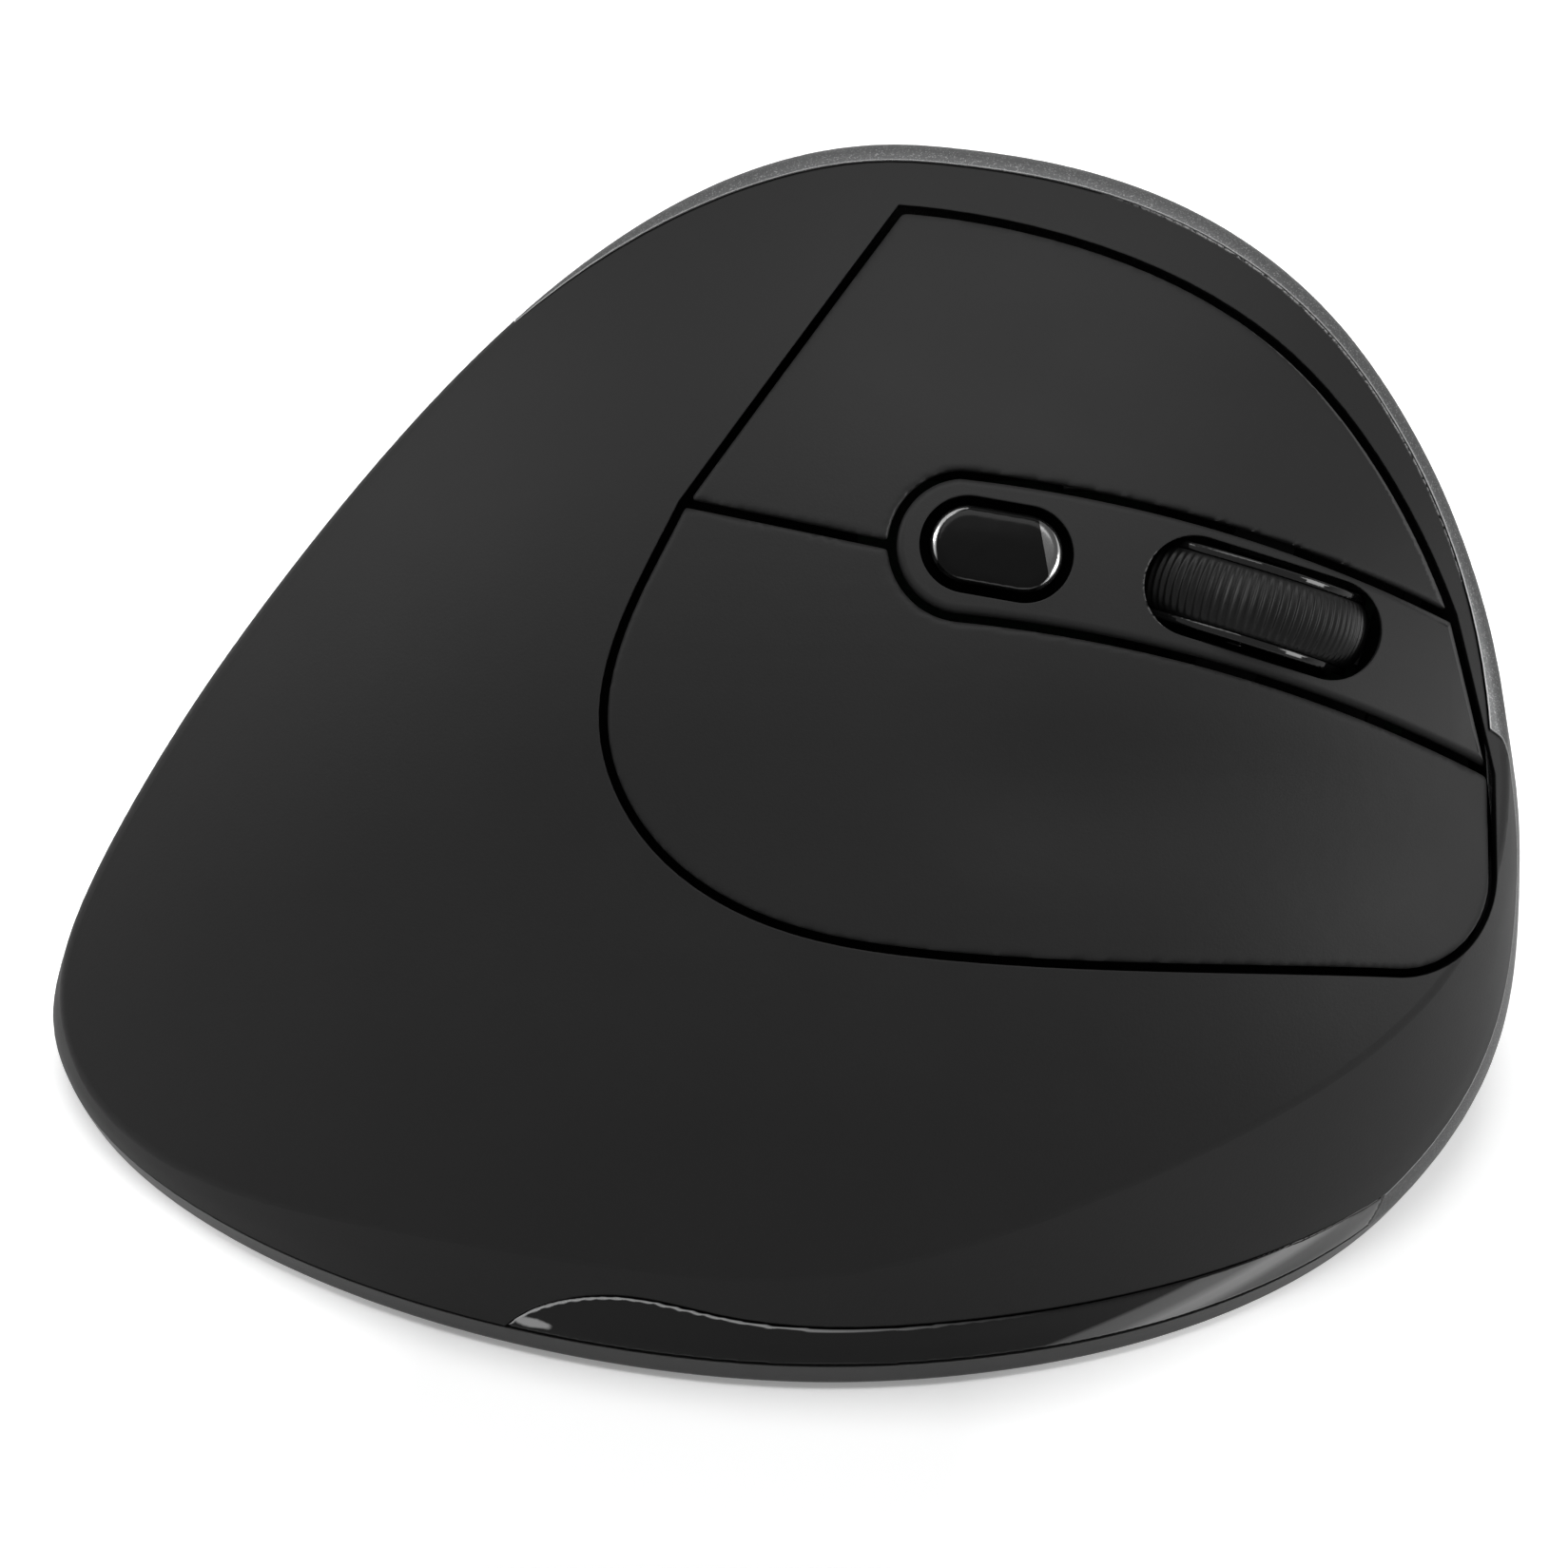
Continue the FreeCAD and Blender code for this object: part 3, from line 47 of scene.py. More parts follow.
# The finger face leans by this much. The ways to the nose, to the sky, up the face and out of it
lean = math.radians(45)
toNose = Vector((1, 0, 0))
toSky = Vector((0, 0, 1))
upFace = Vector((0, math.cos(lean), math.sin(lean)))
outFace = Vector((0, -math.sin(lean), math.cos(lean)))


class Wire:
    # a material's socket, so that shader maths reads as sums
    def __init__(self, paint, socket):
        self.paint = paint
        self.socket = socket

    def __add__(self, other):
        return self.paint.maths("ADD", self, other)

    def __sub__(self, other):
        return self.paint.maths("SUBTRACT", self, other)

    def __rsub__(self, other):
        return self.paint.maths("SUBTRACT", other, self)

    def __mul__(self, other):
        return self.paint.maths("MULTIPLY", self, other)

    def __truediv__(self, other):
        return self.paint.maths("DIVIDE", self, other)

    def __pow__(self, other):
        return self.paint.maths("POWER", self, other)

    __radd__ = __add__
    __rmul__ = __mul__


class Paint:
    # one material, or the world's; every node comes from add()
    def __init__(self, name, holder=None):
        self.material = holder or bpy.data.materials.new(name)
        self.material.use_nodes = True
        self.tree = self.material.node_tree
        self.tree.nodes.clear()

    def add(self, kind, settings=None, sockets=None, out=0):
        node = self.tree.nodes.new(kind)
        for name, value in (settings or {}).items():
            if name == "stops":
                self.setStops(node.color_ramp, value)
            else:
                setattr(node, name, value)
        for name, value in (sockets or {}).items():
            if isinstance(value, Wire):
                self.tree.links.new(value.socket, node.inputs[name])
            else:
                node.inputs[name].default_value = value
        return Wire(self, node.outputs[out]) if node.outputs else None

    def setStops(self, ramp, stops):
        while len(ramp.elements) < len(stops):
            ramp.elements.new(1.0)
        for element, (place, shade) in zip(ramp.elements, stops):
            element.position = place
            element.color = (shade, shade, shade, 1)

    def maths(self, operation, *inputs):
        return self.add("ShaderNodeMath", {"operation": operation}, dict(enumerate(inputs)))

    def most(self, first, *others):
        for other in others:
            first = self.maths("MAXIMUM", first, other)
        return first

    def vectors(self, operation, *inputs, out="Vector"):
        return self.add("ShaderNodeVectorMath", {"operation": operation}, dict(enumerate(inputs)), out)

    def where(self):
        return self.add("ShaderNodeTexCoord", out="Object")

    def facing(self):
        return self.add("ShaderNodeTexCoord", out="Normal")

    def flat(self):
        return self.add("ShaderNodeNewGeometry", out="Normal")

    def rounded(self, radius, samples=6):
        # the normal as it is where the edges have this radius
        return self.add("ShaderNodeBevel", {"samples": samples}, {"Radius": radius})

    def along(self, vector, direction):
        return self.vectors("DOT_PRODUCT", vector, direction, out="Value")

    def within(self, vector, band):
        # one inside a band: its direction, its middle and its half width
        direction, middle, half = band
        return self.maths("COMPARE", self.along(vector, direction), middle, half)

    def noise(self, size, detail=2.0, rough=0.5):
        # grey noise whose blobs are about this many metres across
        return self.add("ShaderNodeTexNoise", {}, {"Vector": self.where(), "Scale": 1 / size,
                                                   "Detail": detail, "Roughness": rough})

    def ramp(self, level, stops):
        return self.add("ShaderNodeValToRGB", {"stops": stops}, {"Fac": level})

    def between(self, level, first, second):
        return self.add("ShaderNodeMix", {"data_type": "RGBA"}, {0: level, 6: first, 7: second}, out=2)

    def bump(self, height, depth, strength=1.0, over=None):
        sockets = {"Height": height, "Distance": depth, "Strength": strength}
        if over:
            sockets["Normal"] = over
        return self.add("ShaderNodeBump", {}, sockets)

    def shader(self, **sockets):
        named = {name.replace("_", " "): value for name, value in sockets.items()}
        return self.add("ShaderNodeBsdfPrincipled", {}, named, out="BSDF")

    def bare(self, level=0.002, rough=0.8, specular=0.0):
        return self.shader(Base_Color=grey(level), Roughness=rough, Specular_IOR_Level=specular)

    def blend(self, share, first, second):
        return self.add("ShaderNodeMixShader", {}, {0: share, 1: first, 2: second})

    def surface(self, **sockets):
        return self.finish(self.shader(**sockets))

    def finish(self, shader):
        self.add("ShaderNodeOutputMaterial", {}, {"Surface": shader})
        return self.material


def grey(level, tint=0.0):
    # a neutral colour, a little cooler where tint is above nothing
    return (level * (1 - tint), level, level * (1 + tint), 1)


# Soft-touch coat over the black shell and its two buttons. Its outer edges are painted near black
# as shade in the seams, but for the crest's front, where flecks of painted highlight glitter
palmCoat = {"dark": 0.0125, "light": 0.0155, "mottle": 9 * mm, "rough": 0.52, "roughSpread": 0.08,
            "grain": 0.22 * mm, "grainDepth": 0.012 * mm, "specular": 0.11, "edge": 0.18 * mm,
            "middle": (10 * mm, 0, 45 * mm), "seam": 0.32 * mm, "seamTurn": [(0.10, 0.0), (0.24, 1.0)],
            "seamLevel": 0.001, "seamRough": 0.6, "seamSpecular": 0.02,
            "fleck": 0.35 * mm, "fleckSpan": [(0.38, 0.0), (0.56, 1.0)], "glitter": 0.30,
            "glitterFrom": 25 * mm, "glitterRun": 8 * mm, "glitterAbove": 50 * mm}
bridgeCoat = {**palmCoat, "dark": 0.015, "light": 0.018, "rough": 0.50}

# Edges of the index button and of the bridge that face the nose are painted lighter, as a painted highlight
noseEdgeHighlight = {"span": [(0.50, 0.0), (0.62, 1.0), (0.88, 1.0), (0.97, 0.0)], "level": 0.075}


def makePalmCoat(name, coat, paintedHighlight=None):
    paint = Paint(name)
    where = paint.where()
    mottle = paint.noise(coat["mottle"], detail=3)
    grain = paint.noise(coat["grain"], rough=0.6)
    colour = paint.between(mottle, grey(coat["dark"]), grey(coat["light"]))
    if paintedHighlight:
        # painted highlight: lighter where the surface faces the nose
        share = paint.ramp(paint.along(paint.facing(), toNose), paintedHighlight["span"])
        colour = paint.between(share, colour, grey(paintedHighlight["level"]))
    normal = paint.bump(grain, coat["grainDepth"], over=paint.rounded(coat["edge"]))
    coated = paint.shader(Base_Color=colour, Roughness=mottle * coat["roughSpread"] + coat["rough"],
                          Normal=normal, Specular_IOR_Level=coat["specular"])
    # on an outer edge the rounded normal turns away from the middle of the shell; there the coat is painted near
    # black as shade in the seam
    away = paint.vectors("NORMALIZE", paint.vectors("SUBTRACT", where, coat["middle"]))
    edge = paint.rounded(coat["seam"], samples=8)
    seamShadeMask = paint.ramp(paint.along(edge, away) - paint.along(paint.flat(), away), coat["seamTurn"])
    # painted highlight: pale flecks along the crest's front edge, high up on the shell
    fleck = paint.ramp(paint.noise(coat["fleck"], detail=3, rough=0.7), coat["fleckSpan"])
    front = paint.ramp((paint.along(where, toNose) - coat["glitterFrom"]) / coat["glitterRun"],
                       [(0.0, 0.0), (1.0, 1.0)])
    high = paint.maths("GREATER_THAN", paint.along(where, toSky), coat["glitterAbove"])
    level = paint.between(front * high * fleck, grey(coat["seamLevel"]), grey(coat["glitter"]))
    seam = paint.shader(Base_Color=level, Roughness=coat["seamRough"],
                        Specular_IOR_Level=coat["seamSpecular"])
    return paint.finish(paint.blend(seamShadeMask, coated, seam))


# Sprayed dark grey coat with fine metal flakes, and a painted highlight on the sharp edges along the seams.
# Where little of the room is seen it turns near black: the bare moulding inside, and painted shade in recesses
# outside
greyCoat = {"dark": 0.072, "light": 0.090, "tint": 0.01, "mottle": 6 * mm, "metal": 0.4,
            "rough": 0.53, "roughSpread": -0.1, "flake": 0.08 * mm, "flakeShine": 0.22, "flakePower": 9,
            "flakeDepth": 0.004 * mm, "flakeBump": 0.6, "specular": 0.3, "edge": 0.2 * mm, "edgeShine": 0.35,
            "line": 0.3 * mm, "lineTurn": [(0.80, 1.0), (0.97, 0.0)], "lineLevel": 0.45,
            "room": 45 * mm, "roomSpan": [(0.10, 0.0), (0.16, 1.0)],
            "bare": {"level": 0.010, "rough": 0.6, "specular": 0.1}}


def makeGreyCoat(name, coat):
    paint = Paint(name)
    flakes = paint.add("ShaderNodeTexVoronoi", {}, {"Vector": paint.where(), "Scale": 1 / coat["flake"]},
                       out="Color")
    spark = paint.add("ShaderNodeSeparateColor", {}, {"Color": flakes})
    colour = paint.between(paint.noise(coat["mottle"]), grey(coat["dark"], coat["tint"]),
                           grey(coat["light"], coat["tint"]))
    colour = paint.between(spark ** coat["flakePower"], colour, grey(coat["flakeShine"]))
    # painted highlight: pale grey where the rounded seam edge turns off the flat face
    edge = paint.rounded(coat["line"], samples=8)
    line = paint.ramp(paint.along(edge, paint.flat()), coat["lineTurn"])
    colour = paint.between(line, colour, grey(coat["lineLevel"]))
    normal = paint.bump(spark, coat["flakeDepth"], coat["flakeBump"], over=paint.rounded(coat["edge"]))
    painted = paint.shader(Base_Color=colour, Metallic=coat["metal"],
                           Roughness=spark * coat["roughSpread"] + coat["rough"], Normal=normal,
                           Specular_IOR_Level=coat["specular"], Specular_Tint=grey(coat["edgeShine"]))
    # near black where little of the room is seen: the bare moulding inside, and painted shade in recesses outside
    openness = paint.add("ShaderNodeAmbientOcclusion", {"samples": 6}, {"Distance": coat["room"]}, out="AO")
    sprayedUnshaded = paint.ramp(openness, coat["roomSpan"])
    return paint.finish(paint.blend(sprayedUnshaded, paint.bare(**coat["bare"]), painted))


# Polished black plastic, faintly smeared
glossCoat = {"level": 0.0030, "spread": 1.6, "rough": 0.06, "roughSpread": 0.05, "specular": 0.12,
             "smear": 14 * mm, "smearRough": 0.65, "smearDepth": 0.002 * mm,
             "streak": [(0.45, 0.0), (0.75, 1.0)], "edge": 0.12 * mm}


def makeGloss(name, coat, band=None):
    # all over, or within a band only and bare outside it
    paint = Paint(name)
    smear = paint.noise(coat["smear"], detail=4, rough=coat["smearRough"])
    rough = paint.ramp(smear, coat["streak"]) * coat["roughSpread"] + coat["rough"]
    colour = paint.between(smear, grey(coat["level"]), grey(coat["level"] * coat["spread"]))
    normal = paint.bump(smear, coat["smearDepth"], over=paint.rounded(coat["edge"]))
    shiny = paint.shader(Base_Color=colour, Roughness=rough, Normal=normal,
                         Specular_IOR_Level=coat["specular"])
    if band is None:
        return paint.finish(shiny)
    return paint.finish(paint.blend(paint.within(paint.where(), band), paint.bare(), shiny))


def glossAndHighlightPair(paint, coat, shine):
    # the same dark gloss twice: as it is, and mirroring the pale room strongly, for masks to lay on as painted
    # highlights
    smear = paint.noise(coat["smear"], detail=4, rough=coat["smearRough"])
    normal = paint.bump(smear, coat["smearDepth"])
    colour = paint.between(smear, grey(shine["least"]), grey(shine["greatest"]))
    spread = smear * shine["roughSpread"]
    plain = paint.shader(Base_Color=colour, Roughness=spread + shine["plainRough"], Normal=normal,
                         Specular_IOR_Level=shine["specular"])
    highlightMirror = paint.shader(Base_Color=colour, Roughness=spread + shine["rough"], Normal=normal,
                          Specular_IOR_Level=1.0, IOR=shine["index"])
    return plain, highlightMirror


# The strip along the base, with painted highlights: a fine line on its upper edge that fades towards
# the nose, a glint at its tip, and past a slanting edge a painted reflection of the pale floor. Above the
# line the edge is painted near black as shade in the seam
stripShine = {"least": 0.0018, "greatest": 0.0054, "plainRough": 0.06, "specular": 0.12,
              "rough": 0.08, "roughSpread": 0.08, "index": 2.0,
              "line": [(0.20, 0.0), (0.30, 1.0), (0.56, 1.0), (0.68, 0.0)],
              "seam": [(0.66, 0.0), (0.74, 1.0)], "lineFrom": -23 * mm, "lineRun": 74 * mm,
              "lineFade": [(0.0, 1.0), (0.28, 0.85), (0.39, 0.45), (0.50, 0.12), (0.60, 0.0)],
              "tip": (-20.3 * mm, 0, 3.6 * mm), "tipSize": (1.9 * mm, 1, 0.6 * mm),
              "ragged": 0.9 * mm, "raggedDepth": 0.8, "tipSpan": [(0.55, 1.0), (0.95, 0.0)],
              "slant": toNose - 3.3 * toSky, "slantFrom": 11.2 * mm, "slantRun": 40 * mm,
              "pale": [(0.0, 0.0), (0.035, 0.30), (0.14, 0.36), (0.22, 0.80), (0.29, 0.74), (0.37, 0.30),
                       (0.5, 0.16), (1.0, 0.10)],
              "paleEdge": [(0.16, 0.0), (0.3, 1.0)]}


def makeStripGloss(name, coat, shine):
    paint = Paint(name)
    where = paint.where()
    plain, highlightMirror = glossAndHighlightPair(paint, coat, shine)
    upward = paint.along(paint.facing(), toSky)
    forward = paint.along(where, toNose)
    # painted highlight: a fine line on the upper edge, fading towards the nose
    fade = paint.ramp((forward - shine["lineFrom"]) / shine["lineRun"], shine["lineFade"])
    line = paint.ramp(upward, shine["line"]) * fade
    # painted highlight: a ragged glint at the tip
    offset = paint.vectors("DIVIDE", paint.vectors("SUBTRACT", where, shine["tip"]), shine["tipSize"])
    reach = paint.vectors("LENGTH", offset, out="Value")
    ragged = (paint.noise(shine["ragged"], detail=3) - 0.5) * shine["raggedDepth"]
    tip = paint.ramp(reach + ragged, shine["tipSpan"])
    # painted reflection of the pale floor past the slanting edge
    beyond = (paint.along(where, shine["slant"]) - shine["slantFrom"]) / shine["slantRun"]
    pale = paint.ramp(beyond, shine["pale"]) * (1 - paint.ramp(upward, shine["paleEdge"]))
    shiny = paint.blend(paint.most(line, tip, pale), plain, highlightMirror)
    # painted shade: near black above the line, in the seam
    return paint.finish(paint.blend(paint.ramp(upward, shine["seam"]), shiny, paint.bare()))


# The small button's cap, with painted highlights: a crescent on its upper left edge, a paler patch with a bright
# edge on its right, and a faint line along its lower edge. Below its crown it is painted near black as shade
capShine = {"least": 0.0018, "greatest": 0.0054, "plainRough": 0.10, "specular": 0.06,
            "rough": 0.16, "roughSpread": 0.08, "index": 2.6, "crown": (outFace, 46.2 * mm, 5 * mm),
            "upperLeft": 0.56 * upFace - 0.83 * toNose, "right": 0.99 * toNose - 0.14 * upFace,
            "crescent": [(0.40, 0.0), (0.52, 1.0), (0.92, 1.0), (0.97, 0.0)],
            "below": -upFace, "faint": [(0.50, 0.0), (0.62, 0.14), (0.75, 0.14), (0.84, 0.0)],
            "patch": 0.985 * toNose + 0.17 * upFace, "patchFrom": 26.7 * mm, "patchLevel": 0.17}


def makeCapGloss(name, coat, shine):
    paint = Paint(name)
    where = paint.where()
    facing = paint.facing()
    plain, highlightMirror = glossAndHighlightPair(paint, coat, shine)
    # painted highlights: crescents, a faint lower line and a paler patch on the right
    crescentHighlights = [paint.ramp(paint.along(facing, shine[side]), shine["crescent"])
                 for side in ("upperLeft", "right")]
    faint = paint.ramp(paint.along(facing, shine["below"]), shine["faint"])
    patch = paint.maths("GREATER_THAN", paint.along(where, shine["patch"]), shine["patchFrom"])
    shiny = paint.blend(paint.most(*crescentHighlights, faint, patch * shine["patchLevel"]), plain, highlightMirror)
    # painted shade: near black below the crown
    return paint.finish(paint.blend(paint.within(where, shine["crown"]), paint.bare(), shiny))


# Plain moulded plastics, each with the fine spark grain of its mould
mouldings = {
    "base_plastic": {"level": 0.020, "rough": 0.40, "grain": 0.25 * mm, "depth": 0.012 * mm, "specular": 0.5},
    "frame_plastic": {"level": 0.006, "rough": 0.56, "grain": 0.3 * mm, "depth": 0.01 * mm, "specular": 0.08},
    "chip_black": {"level": 0.012, "rough": 0.38, "grain": 0.2 * mm, "depth": 0.006 * mm, "specular": 0.5},
    "switch_white": {"level": 0.62, "rough": 0.34, "grain": 0.2 * mm, "depth": 0.004 * mm, "specular": 0.5},
    "foot_film": {"level": 0.055, "rough": 0.30, "grain": 0.4 * mm, "depth": 0.006 * mm, "specular": 0.5},
    "ribbon_film": {"level": 0.35, "rough": 0.31, "grain": 0.5 * mm, "depth": 0.004 * mm, "specular": 0.5},
}
mouldLook = {"cloud": 40, "least": 0.88, "greatest": 1.12, "roughSpread": 0.08, "edge": 0.15 * mm}


def makeMoulded(name, mould):
    paint = Paint(name)
    pits = paint.noise(mould["grain"], rough=0.7)
    cloud = paint.noise(mould["grain"] * mouldLook["cloud"])
    colour = paint.between(cloud, grey(mould["level"] * mouldLook["least"]),
                           grey(mould["level"] * mouldLook["greatest"]))
    normal = paint.bump(pits, mould["depth"], over=paint.rounded(mouldLook["edge"], samples=4))
    return paint.surface(Base_Color=colour, Roughness=cloud * mouldLook["roughSpread"] + mould["rough"],
                         Normal=normal, Specular_IOR_Level=mould["specular"])


# Tyre rubber: lighter and rougher in random dusty blotches
rubber = {"dark": 0.0035, "light": 0.0075, "dust": 1.4 * mm, "rough": 0.34, "roughSpread": 0.16,
          "grain": 0.12 * mm, "depth": 0.008 * mm, "specular": 0.12}


def makeRubber(name):
    paint = Paint(name)
    dust = paint.noise(rubber["dust"], detail=5, rough=0.7)
    colour = paint.between(dust, grey(rubber["dark"]), grey(rubber["light"]))
    return paint.surface(Base_Color=colour, Roughness=dust * rubber["roughSpread"] + rubber["rough"],
                         Normal=paint.bump(paint.noise(rubber["grain"]), rubber["depth"]),
                         Specular_IOR_Level=rubber["specular"])


# Drawn and pressed metals, with fine lines along the mouse
metals = {
    "steel": {"level": 0.55, "rough": 0.22, "scratch": 0.8 * mm},
    "receiver_metal": {"level": 0.62, "rough": 0.2, "scratch": 0.5 * mm},
    "blackened_screws": {"level": 0.012, "rough": 0.45, "scratch": 0.8 * mm},
}
metalLook = {"stretch": (1, 18, 18), "detail": 3.0, "least": 0.9, "roughSpread": 0.12, "depth": 0.003 * mm}


def makeMetal(name, metal):
    paint = Paint(name)
    stretched = paint.add("ShaderNodeMapping", {}, {"Vector": paint.where(), "Scale": metalLook["stretch"]})
    lines = paint.add("ShaderNodeTexNoise", {}, {"Vector": stretched, "Scale": 1 / metal["scratch"],
                                                 "Detail": metalLook["detail"]})
    colour = paint.between(lines, grey(metal["level"] * metalLook["least"]), grey(metal["level"]))
    rough = lines * metalLook["roughSpread"] + metal["rough"]
    return paint.surface(Base_Color=colour, Metallic=1.0, Roughness=rough,
                         Normal=paint.bump(lines, metalLook["depth"]))


# Circuit boards: green solder mask over copper tracks
board = {"mask": (0.0015, 0.010, 0.004, 1), "overTracks": (0.004, 0.026, 0.010, 1), "pitch": 2.2 * mm,
         "gap": 0.06, "pads": 0.4, "cloud": 2 * mm, "rough": 0.4, "roughSpread": 0.1, "depth": 0.01 * mm,
         "specular": 0.15}


def makeBoard(name):
    paint = Paint(name)
    tracks = paint.add("ShaderNodeTexBrick", {}, {
        "Vector": paint.where(), "Scale": 1 / board["pitch"], "Mortar Size": board["gap"],
        "Color1": grey(0.0), "Color2": grey(board["pads"]), "Mortar": grey(1.0)}, out="Color")
    rough = paint.noise(board["cloud"]) * board["roughSpread"] + board["rough"]
    colour = paint.between(tracks, board["mask"], board["overTracks"])
    return paint.surface(Base_Color=colour, Roughness=rough, Normal=paint.bump(tracks, board["depth"]),
                         Specular_IOR_Level=board["specular"])


# The sensor's clear lens
lens = {"colour": (0.9, 0.92, 0.94, 1), "haze": 3 * mm, "rough": 0.03, "roughSpread": 0.08, "clear": 0.9,
        "index": 1.49}


def makeLens(name):
    paint = Paint(name)
    haze = paint.noise(lens["haze"], detail=3)
    return paint.surface(Base_Color=lens["colour"], Roughness=haze * lens["roughSpread"] + lens["rough"],
                         Transmission_Weight=lens["clear"], IOR=lens["index"])


# The battery's printed sleeve: two plain bands round the cell
sleeve = {"long": (0.02, 0.06, 0.16, 1), "short": (0.55, 0.40, 0.12, 1), "run": 50 * mm,
          "split": [(0.0, 0.0), (0.68, 0.0), (0.69, 1.0), (1.0, 1.0)], "metal": 0.2, "cloud": 4 * mm,
          "rough": 0.25, "roughSpread": 0.1}


def makeWrap(name):
    paint = Paint(name)
    band = paint.ramp(paint.along(paint.where(), toNose) / sleeve["run"] + 0.5, sleeve["split"])
    rough = paint.noise(sleeve["cloud"]) * sleeve["roughSpread"] + sleeve["rough"]
    return paint.surface(Base_Color=paint.between(band, sleeve["long"], sleeve["short"]),
                         Metallic=sleeve["metal"], Roughness=rough)


def camel(name):
    first, *others = name.split("_")
    return first + "".join(word.capitalize() for word in others)


finishes = {
    "palm_coating": makePalmCoat("palmCoat", palmCoat),
    "bridge_plastic": makePalmCoat("bridgeCoat", bridgeCoat, noseEdgeHighlight),
    "grey_paint": makeGreyCoat("greyCoat", greyCoat),
    "gloss_black": makeGloss("glossBlack", glossCoat),
    "tyre_rubber": makeRubber("tyreRubber"),
    "circuit_board": makeBoard("circuitBoard"),
    "clear_lens": makeLens("clearLens"),
    "battery_wrap": makeWrap("batteryWrap"),
}
finishes.update({name: makeMoulded(camel(name), mould) for name, mould in mouldings.items()})
finishes.update({name: makeMetal(camel(name), metal) for name, metal in metals.items()})

# The wheel's axle, and how it lies. Its hub is polished up to its lips only
wheelJoint = next(joint for joint in frame["joints"] if joint["name"] == "wheel_spin")
wheelMiddle = Vector(wheelJoint["pos_m"])
wheelAxis = Vector(wheelJoint["axis"]).normalized()
hubBand = (wheelAxis, wheelMiddle.dot(wheelAxis), 3.35 * mm)
hubCoat = {**glossCoat, "rough": 0.05, "specular": 0.2}

# Nodes whose finish differs from the rest of their slot
ownFinish = {"button_board_screws": finishes["blackened_screws"],
             "wheel_hub": makeGloss("hubGloss", hubCoat, hubBand)}

slotOf = {part["node"]: part["material_slot"] for part in frame["record"]["subparts"]}
for nodeName, slotName in slotOf.items():
    mesh = nodes[nodeName].data
    mesh.materials.clear()
    mesh.materials.append(ownFinish.get(nodeName, finishes[slotName]))
print("finishes given to", len(slotOf), "nodes")


def addPiece(name, mesh, material, body):
    piece = bpy.data.objects.new(name, mesh)
    bpy.context.scene.collection.objects.link(piece)
    mesh.materials.clear()
    mesh.materials.append(material)
    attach(piece, body)
    return piece


# Pieces whose moulded edges are rounded: body, slot, size of the mesh's cells, rounds of
# smoothing and finish
roundedPieces = {
    "index_button": {"body": "index_key", "slot": "palm_coating", "cell": 0.30 * mm, "rounds": 4,
                     "finish": makePalmCoat("indexCoat", palmCoat, noseEdgeHighlight)},
    "middle_button": {"body": "middle_key", "slot": "palm_coating", "cell": 0.30 * mm, "rounds": 4,
                      "finish": finishes["palm_coating"]},
    "gloss_strip": {"body": "chassis", "slot": "gloss_black", "cell": 0.22 * mm, "rounds": 5,
                    "finish": makeStripGloss("stripGloss", glossCoat, stripShine)},
    "resolution_button": {"body": "resolution_key", "slot": "gloss_black", "cell": 0.14 * mm, "rounds": 8,
                          "finish": makeCapGloss("capGloss", glossCoat, capShine)},
}


def roundedFrom(nodeName, skin):
    # the node's mesh made anew of fine cells and smoothed, on a helper object that goes again
    helper = bpy.data.objects.new("helper", nodes[nodeName].data.copy())
    bpy.context.scene.collection.objects.link(helper)
    fine = helper.modifiers.new("fine", "REMESH")
    fine.mode = "VOXEL"
    fine.voxel_size = skin["cell"]
    fine.use_smooth_shade = True
    soft = helper.modifiers.new("soft", "SMOOTH")
    soft.factor = 0.5
    soft.iterations = skin["rounds"]
    bpy.context.view_layer.update()
    ready = helper.evaluated_get(bpy.context.evaluated_depsgraph_get())
    mesh = bpy.data.meshes.new_from_object(ready)
    bpy.data.objects.remove(helper)
    return mesh


for nodeName, skin in roundedPieces.items():
    skinMesh = roundedFrom(nodeName, skin)
    piece = addPiece(camel(nodeName) + "Skin", skinMesh, skin["finish"], skin["body"])
    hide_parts(nodeName)
    print(nodeName, "rounded,", len(skinMesh.polygons), "faces")


# Rubber tyre of the wheel: crowned, with fine ribs across it that fade towards its sides
tyre = {"turn": math.radians(-17), "radius": 10.2 * mm, "inner": 8.5 * mm, "width": 5.2 * mm,
        "crown": 0.7 * mm, "shoulder": 0.25 * mm, "ribs": 88, "ribDepth": 0.26 * mm, "perRib": 8,
        "across": 16}


def tyrePoint(angle, across, radius):
    # across runs from -1 to 1 over the tread
    return Vector((radius * math.cos(angle), across * tyre["width"] / 2, radius * math.sin(angle)))


def treadPoint(angle, across):
    crowned = tyre["crown"] * across ** 2 + tyre["shoulder"] * across ** 8
    wave = 0.5 - 0.5 * math.cos(tyre["ribs"] * angle)
    rib = tyre["ribDepth"] * wave ** 0.7 * (1 - across ** 4)
    return tyrePoint(angle, across, tyre["radius"] - crowned - rib)


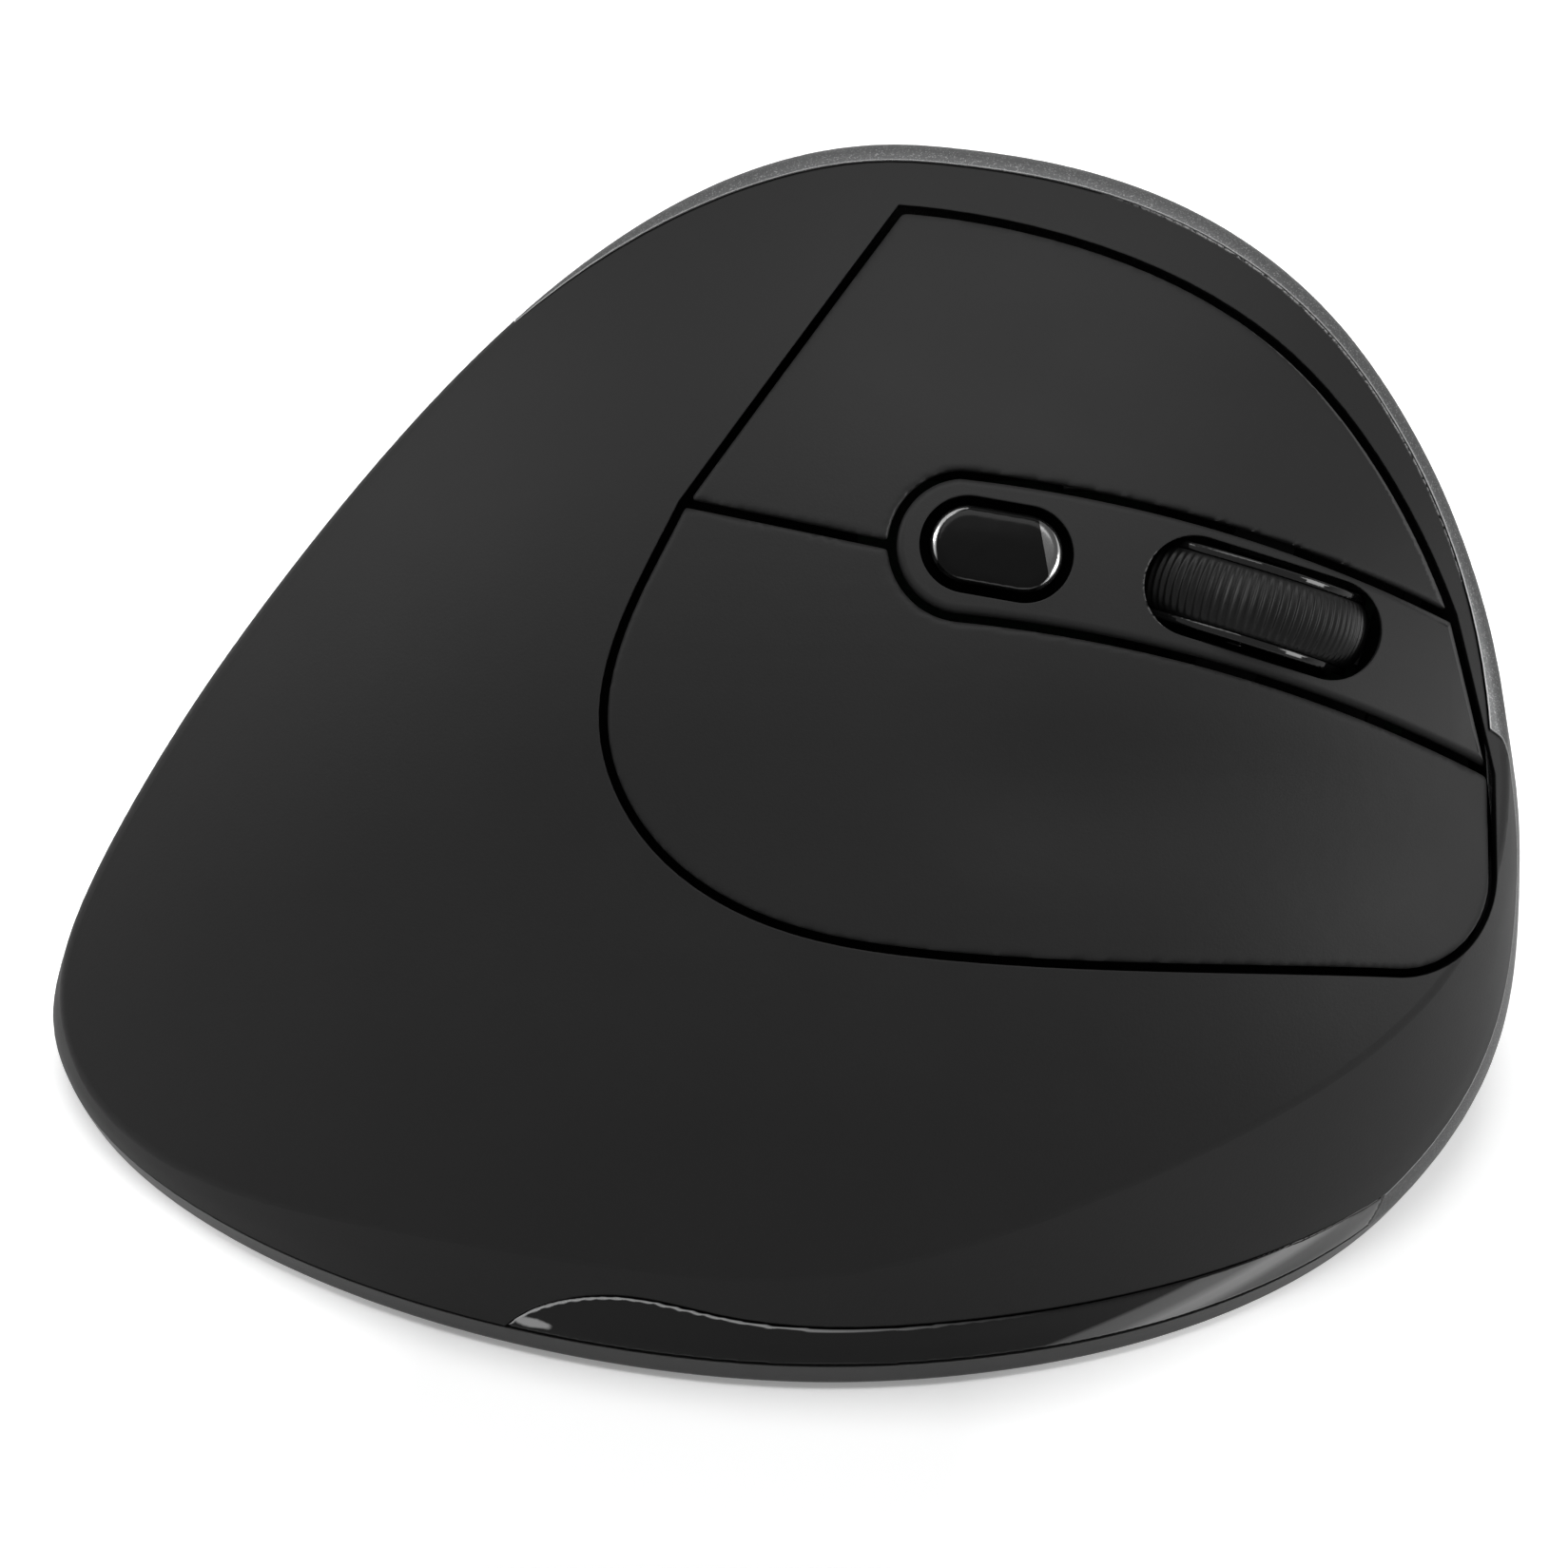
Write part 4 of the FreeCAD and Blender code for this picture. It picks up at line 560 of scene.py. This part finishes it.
def makeTyre():
    work = bmesh.new()
    rounds = tyre["ribs"] * tyre["perRib"]
    steps = [2 * j / tyre["across"] - 1 for j in range(tyre["across"] + 1)]
    place = (Matrix.Translation(wheelMiddle) @ Matrix.Rotation(lean, 4, "X")
             @ Matrix.Rotation(tyre["turn"], 4, "Z"))
    rings = []
    for i in range(rounds):
        angle = 2 * math.pi * i / rounds
        ring = [treadPoint(angle, step) for step in steps]
        ring += [tyrePoint(angle, side, tyre["inner"]) for side in (1, -1)]
        rings.append([work.verts.new(place @ point) for point in ring])
    for i, ring in enumerate(rings):
        after = rings[(i + 1) % rounds]
        for j in range(len(ring)):
            k = (j + 1) % len(ring)
            work.faces.new((ring[j], after[j], after[k], ring[k]))
    bmesh.ops.recalc_face_normals(work, faces=work.faces)
    for face in work.faces:
        face.smooth = True
    mesh = bpy.data.meshes.new("tyre")
    work.to_mesh(mesh)
    work.free()
    return mesh


wheelTyre = addPiece("ribbedTyre", makeTyre(), finishes["tyre_rubber"], "wheel")
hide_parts("wheel_tyre")
print("tyre ribbed,", len(wheelTyre.data.polygons), "faces")


# The floor's own glow is painted light: dim beside the base's lower edge, which keeps the shadow there, and full 5
# cm away from there, which washes the shadow out
ground = {"half": 3.0, "level": 0.84, "cloud": 60 * mm, "cloudSpread": 1.02, "dim": 0.22, "bright": 0.56,
          "middle": (-8 * mm, -45 * mm, 0), "reach": 100 * mm, "span": [(0.22, 0.0), (0.48, 1.0)]}


def seenDirectly(paint):
    # one for rays from the camera, off gloss and through glass
    rays = [paint.add("ShaderNodeLightPath", out=ray)
            for ray in ("Is Camera Ray", "Is Glossy Ray", "Is Transmission Ray")]
    return paint.most(*rays)


def makeFloor():
    paint = Paint("floorPaper")
    colour = paint.between(paint.noise(ground["cloud"]), grey(ground["level"]),
                           grey(ground["level"] * ground["cloudSpread"]))
    matte = paint.add("ShaderNodeBsdfDiffuse", {}, {"Color": colour})
    # painted light: the glow is dim by the base's lower edge and rises away from it, washing the shadow out
    offset = paint.vectors("DISTANCE", paint.where(), ground["middle"], out="Value")
    level = paint.between(paint.ramp(offset / ground["reach"], ground["span"]), grey(ground["dim"]),
                          grey(ground["bright"]))
    glow = paint.add("ShaderNodeEmission", {}, {"Color": level, "Strength": seenDirectly(paint)})
    paint.finish(paint.add("ShaderNodeAddShader", {}, {0: matte, 1: glow}))
    mesh = bpy.data.meshes.new("floor")
    work = bmesh.new()
    bmesh.ops.create_grid(work, x_segments=2, y_segments=2, size=ground["half"])
    work.to_mesh(mesh)
    work.free()
    mesh.materials.append(paint.material)
    floor = bpy.data.objects.new("floor", mesh)
    bpy.context.scene.collection.objects.link(floor)


# The room: white where it is seen, and a soft light where it falls on the mouse
room = {"light": 0.22, "white": 1.0}


def makeWorld():
    sky = Paint("studio", bpy.data.worlds.new("studio"))
    bpy.context.scene.world = sky.material
    level = seenDirectly(sky) * (room["white"] - room["light"]) + room["light"]
    glow = sky.add("ShaderNodeBackground", {}, {"Color": grey(1.0), "Strength": level})
    sky.add("ShaderNodeOutputWorld", {}, {"Surface": glow})


# One lamp overhead, and two cards that show as reflections only
lamps = {
    "topLamp": {"place": (0.0, 0.04, 0.8), "size": (0.5, 0.5), "power": 5.3, "card": False},
    "noseCard": {"place": (0.5, -0.2, 0.2), "size": (0.25, 0.25), "power": 3.1, "card": True},
    "tailCard": {"place": (-0.5, 0.12, 0.35), "size": (0.14, 0.3), "power": 1.6, "card": True},
}
lampTarget = Vector((0, 0, 30 * mm))


def makeLamps():
    for name, lamp in lamps.items():
        light = bpy.data.lights.new(name, "AREA")
        light.shape = "RECTANGLE"
        light.size, light.size_y = lamp["size"]
        light.energy = lamp["power"]
        holder = bpy.data.objects.new(name, light)
        holder.visible_camera = False
        holder.visible_diffuse = not lamp["card"]
        holder.location = lamp["place"]
        holder.rotation_mode = "QUATERNION"
        holder.rotation_quaternion = (lampTarget - holder.location).to_track_quat("-Z", "Y")
        bpy.context.scene.collection.objects.link(holder)


# The photograph's view, square to the finger face
view = {"target": Vector((0, 0, 27.5 * mm)), "distance": 700 * mm, "width": 128.3 * mm, "sensor": 36.0,
        "near": 20 * mm, "far": 50.0}


def makeCamera():
    camera = bpy.data.cameras.new("camera")
    camera.sensor_width = view["sensor"]
    camera.lens = view["sensor"] * view["distance"] / view["width"]
    camera.clip_start = view["near"]
    camera.clip_end = view["far"]
    holder = bpy.data.objects.new("camera", camera)
    holder.location = view["target"] + outFace * view["distance"]
    holder.rotation_mode = "QUATERNION"
    holder.rotation_quaternion = (-outFace).to_track_quat("-Z", "Y")
    bpy.context.scene.collection.objects.link(holder)
    bpy.context.scene.camera = holder


makeFloor()
makeWorld()
makeLamps()
makeCamera()
bpy.context.scene.view_settings.view_transform = "Standard"
print("studio ready")
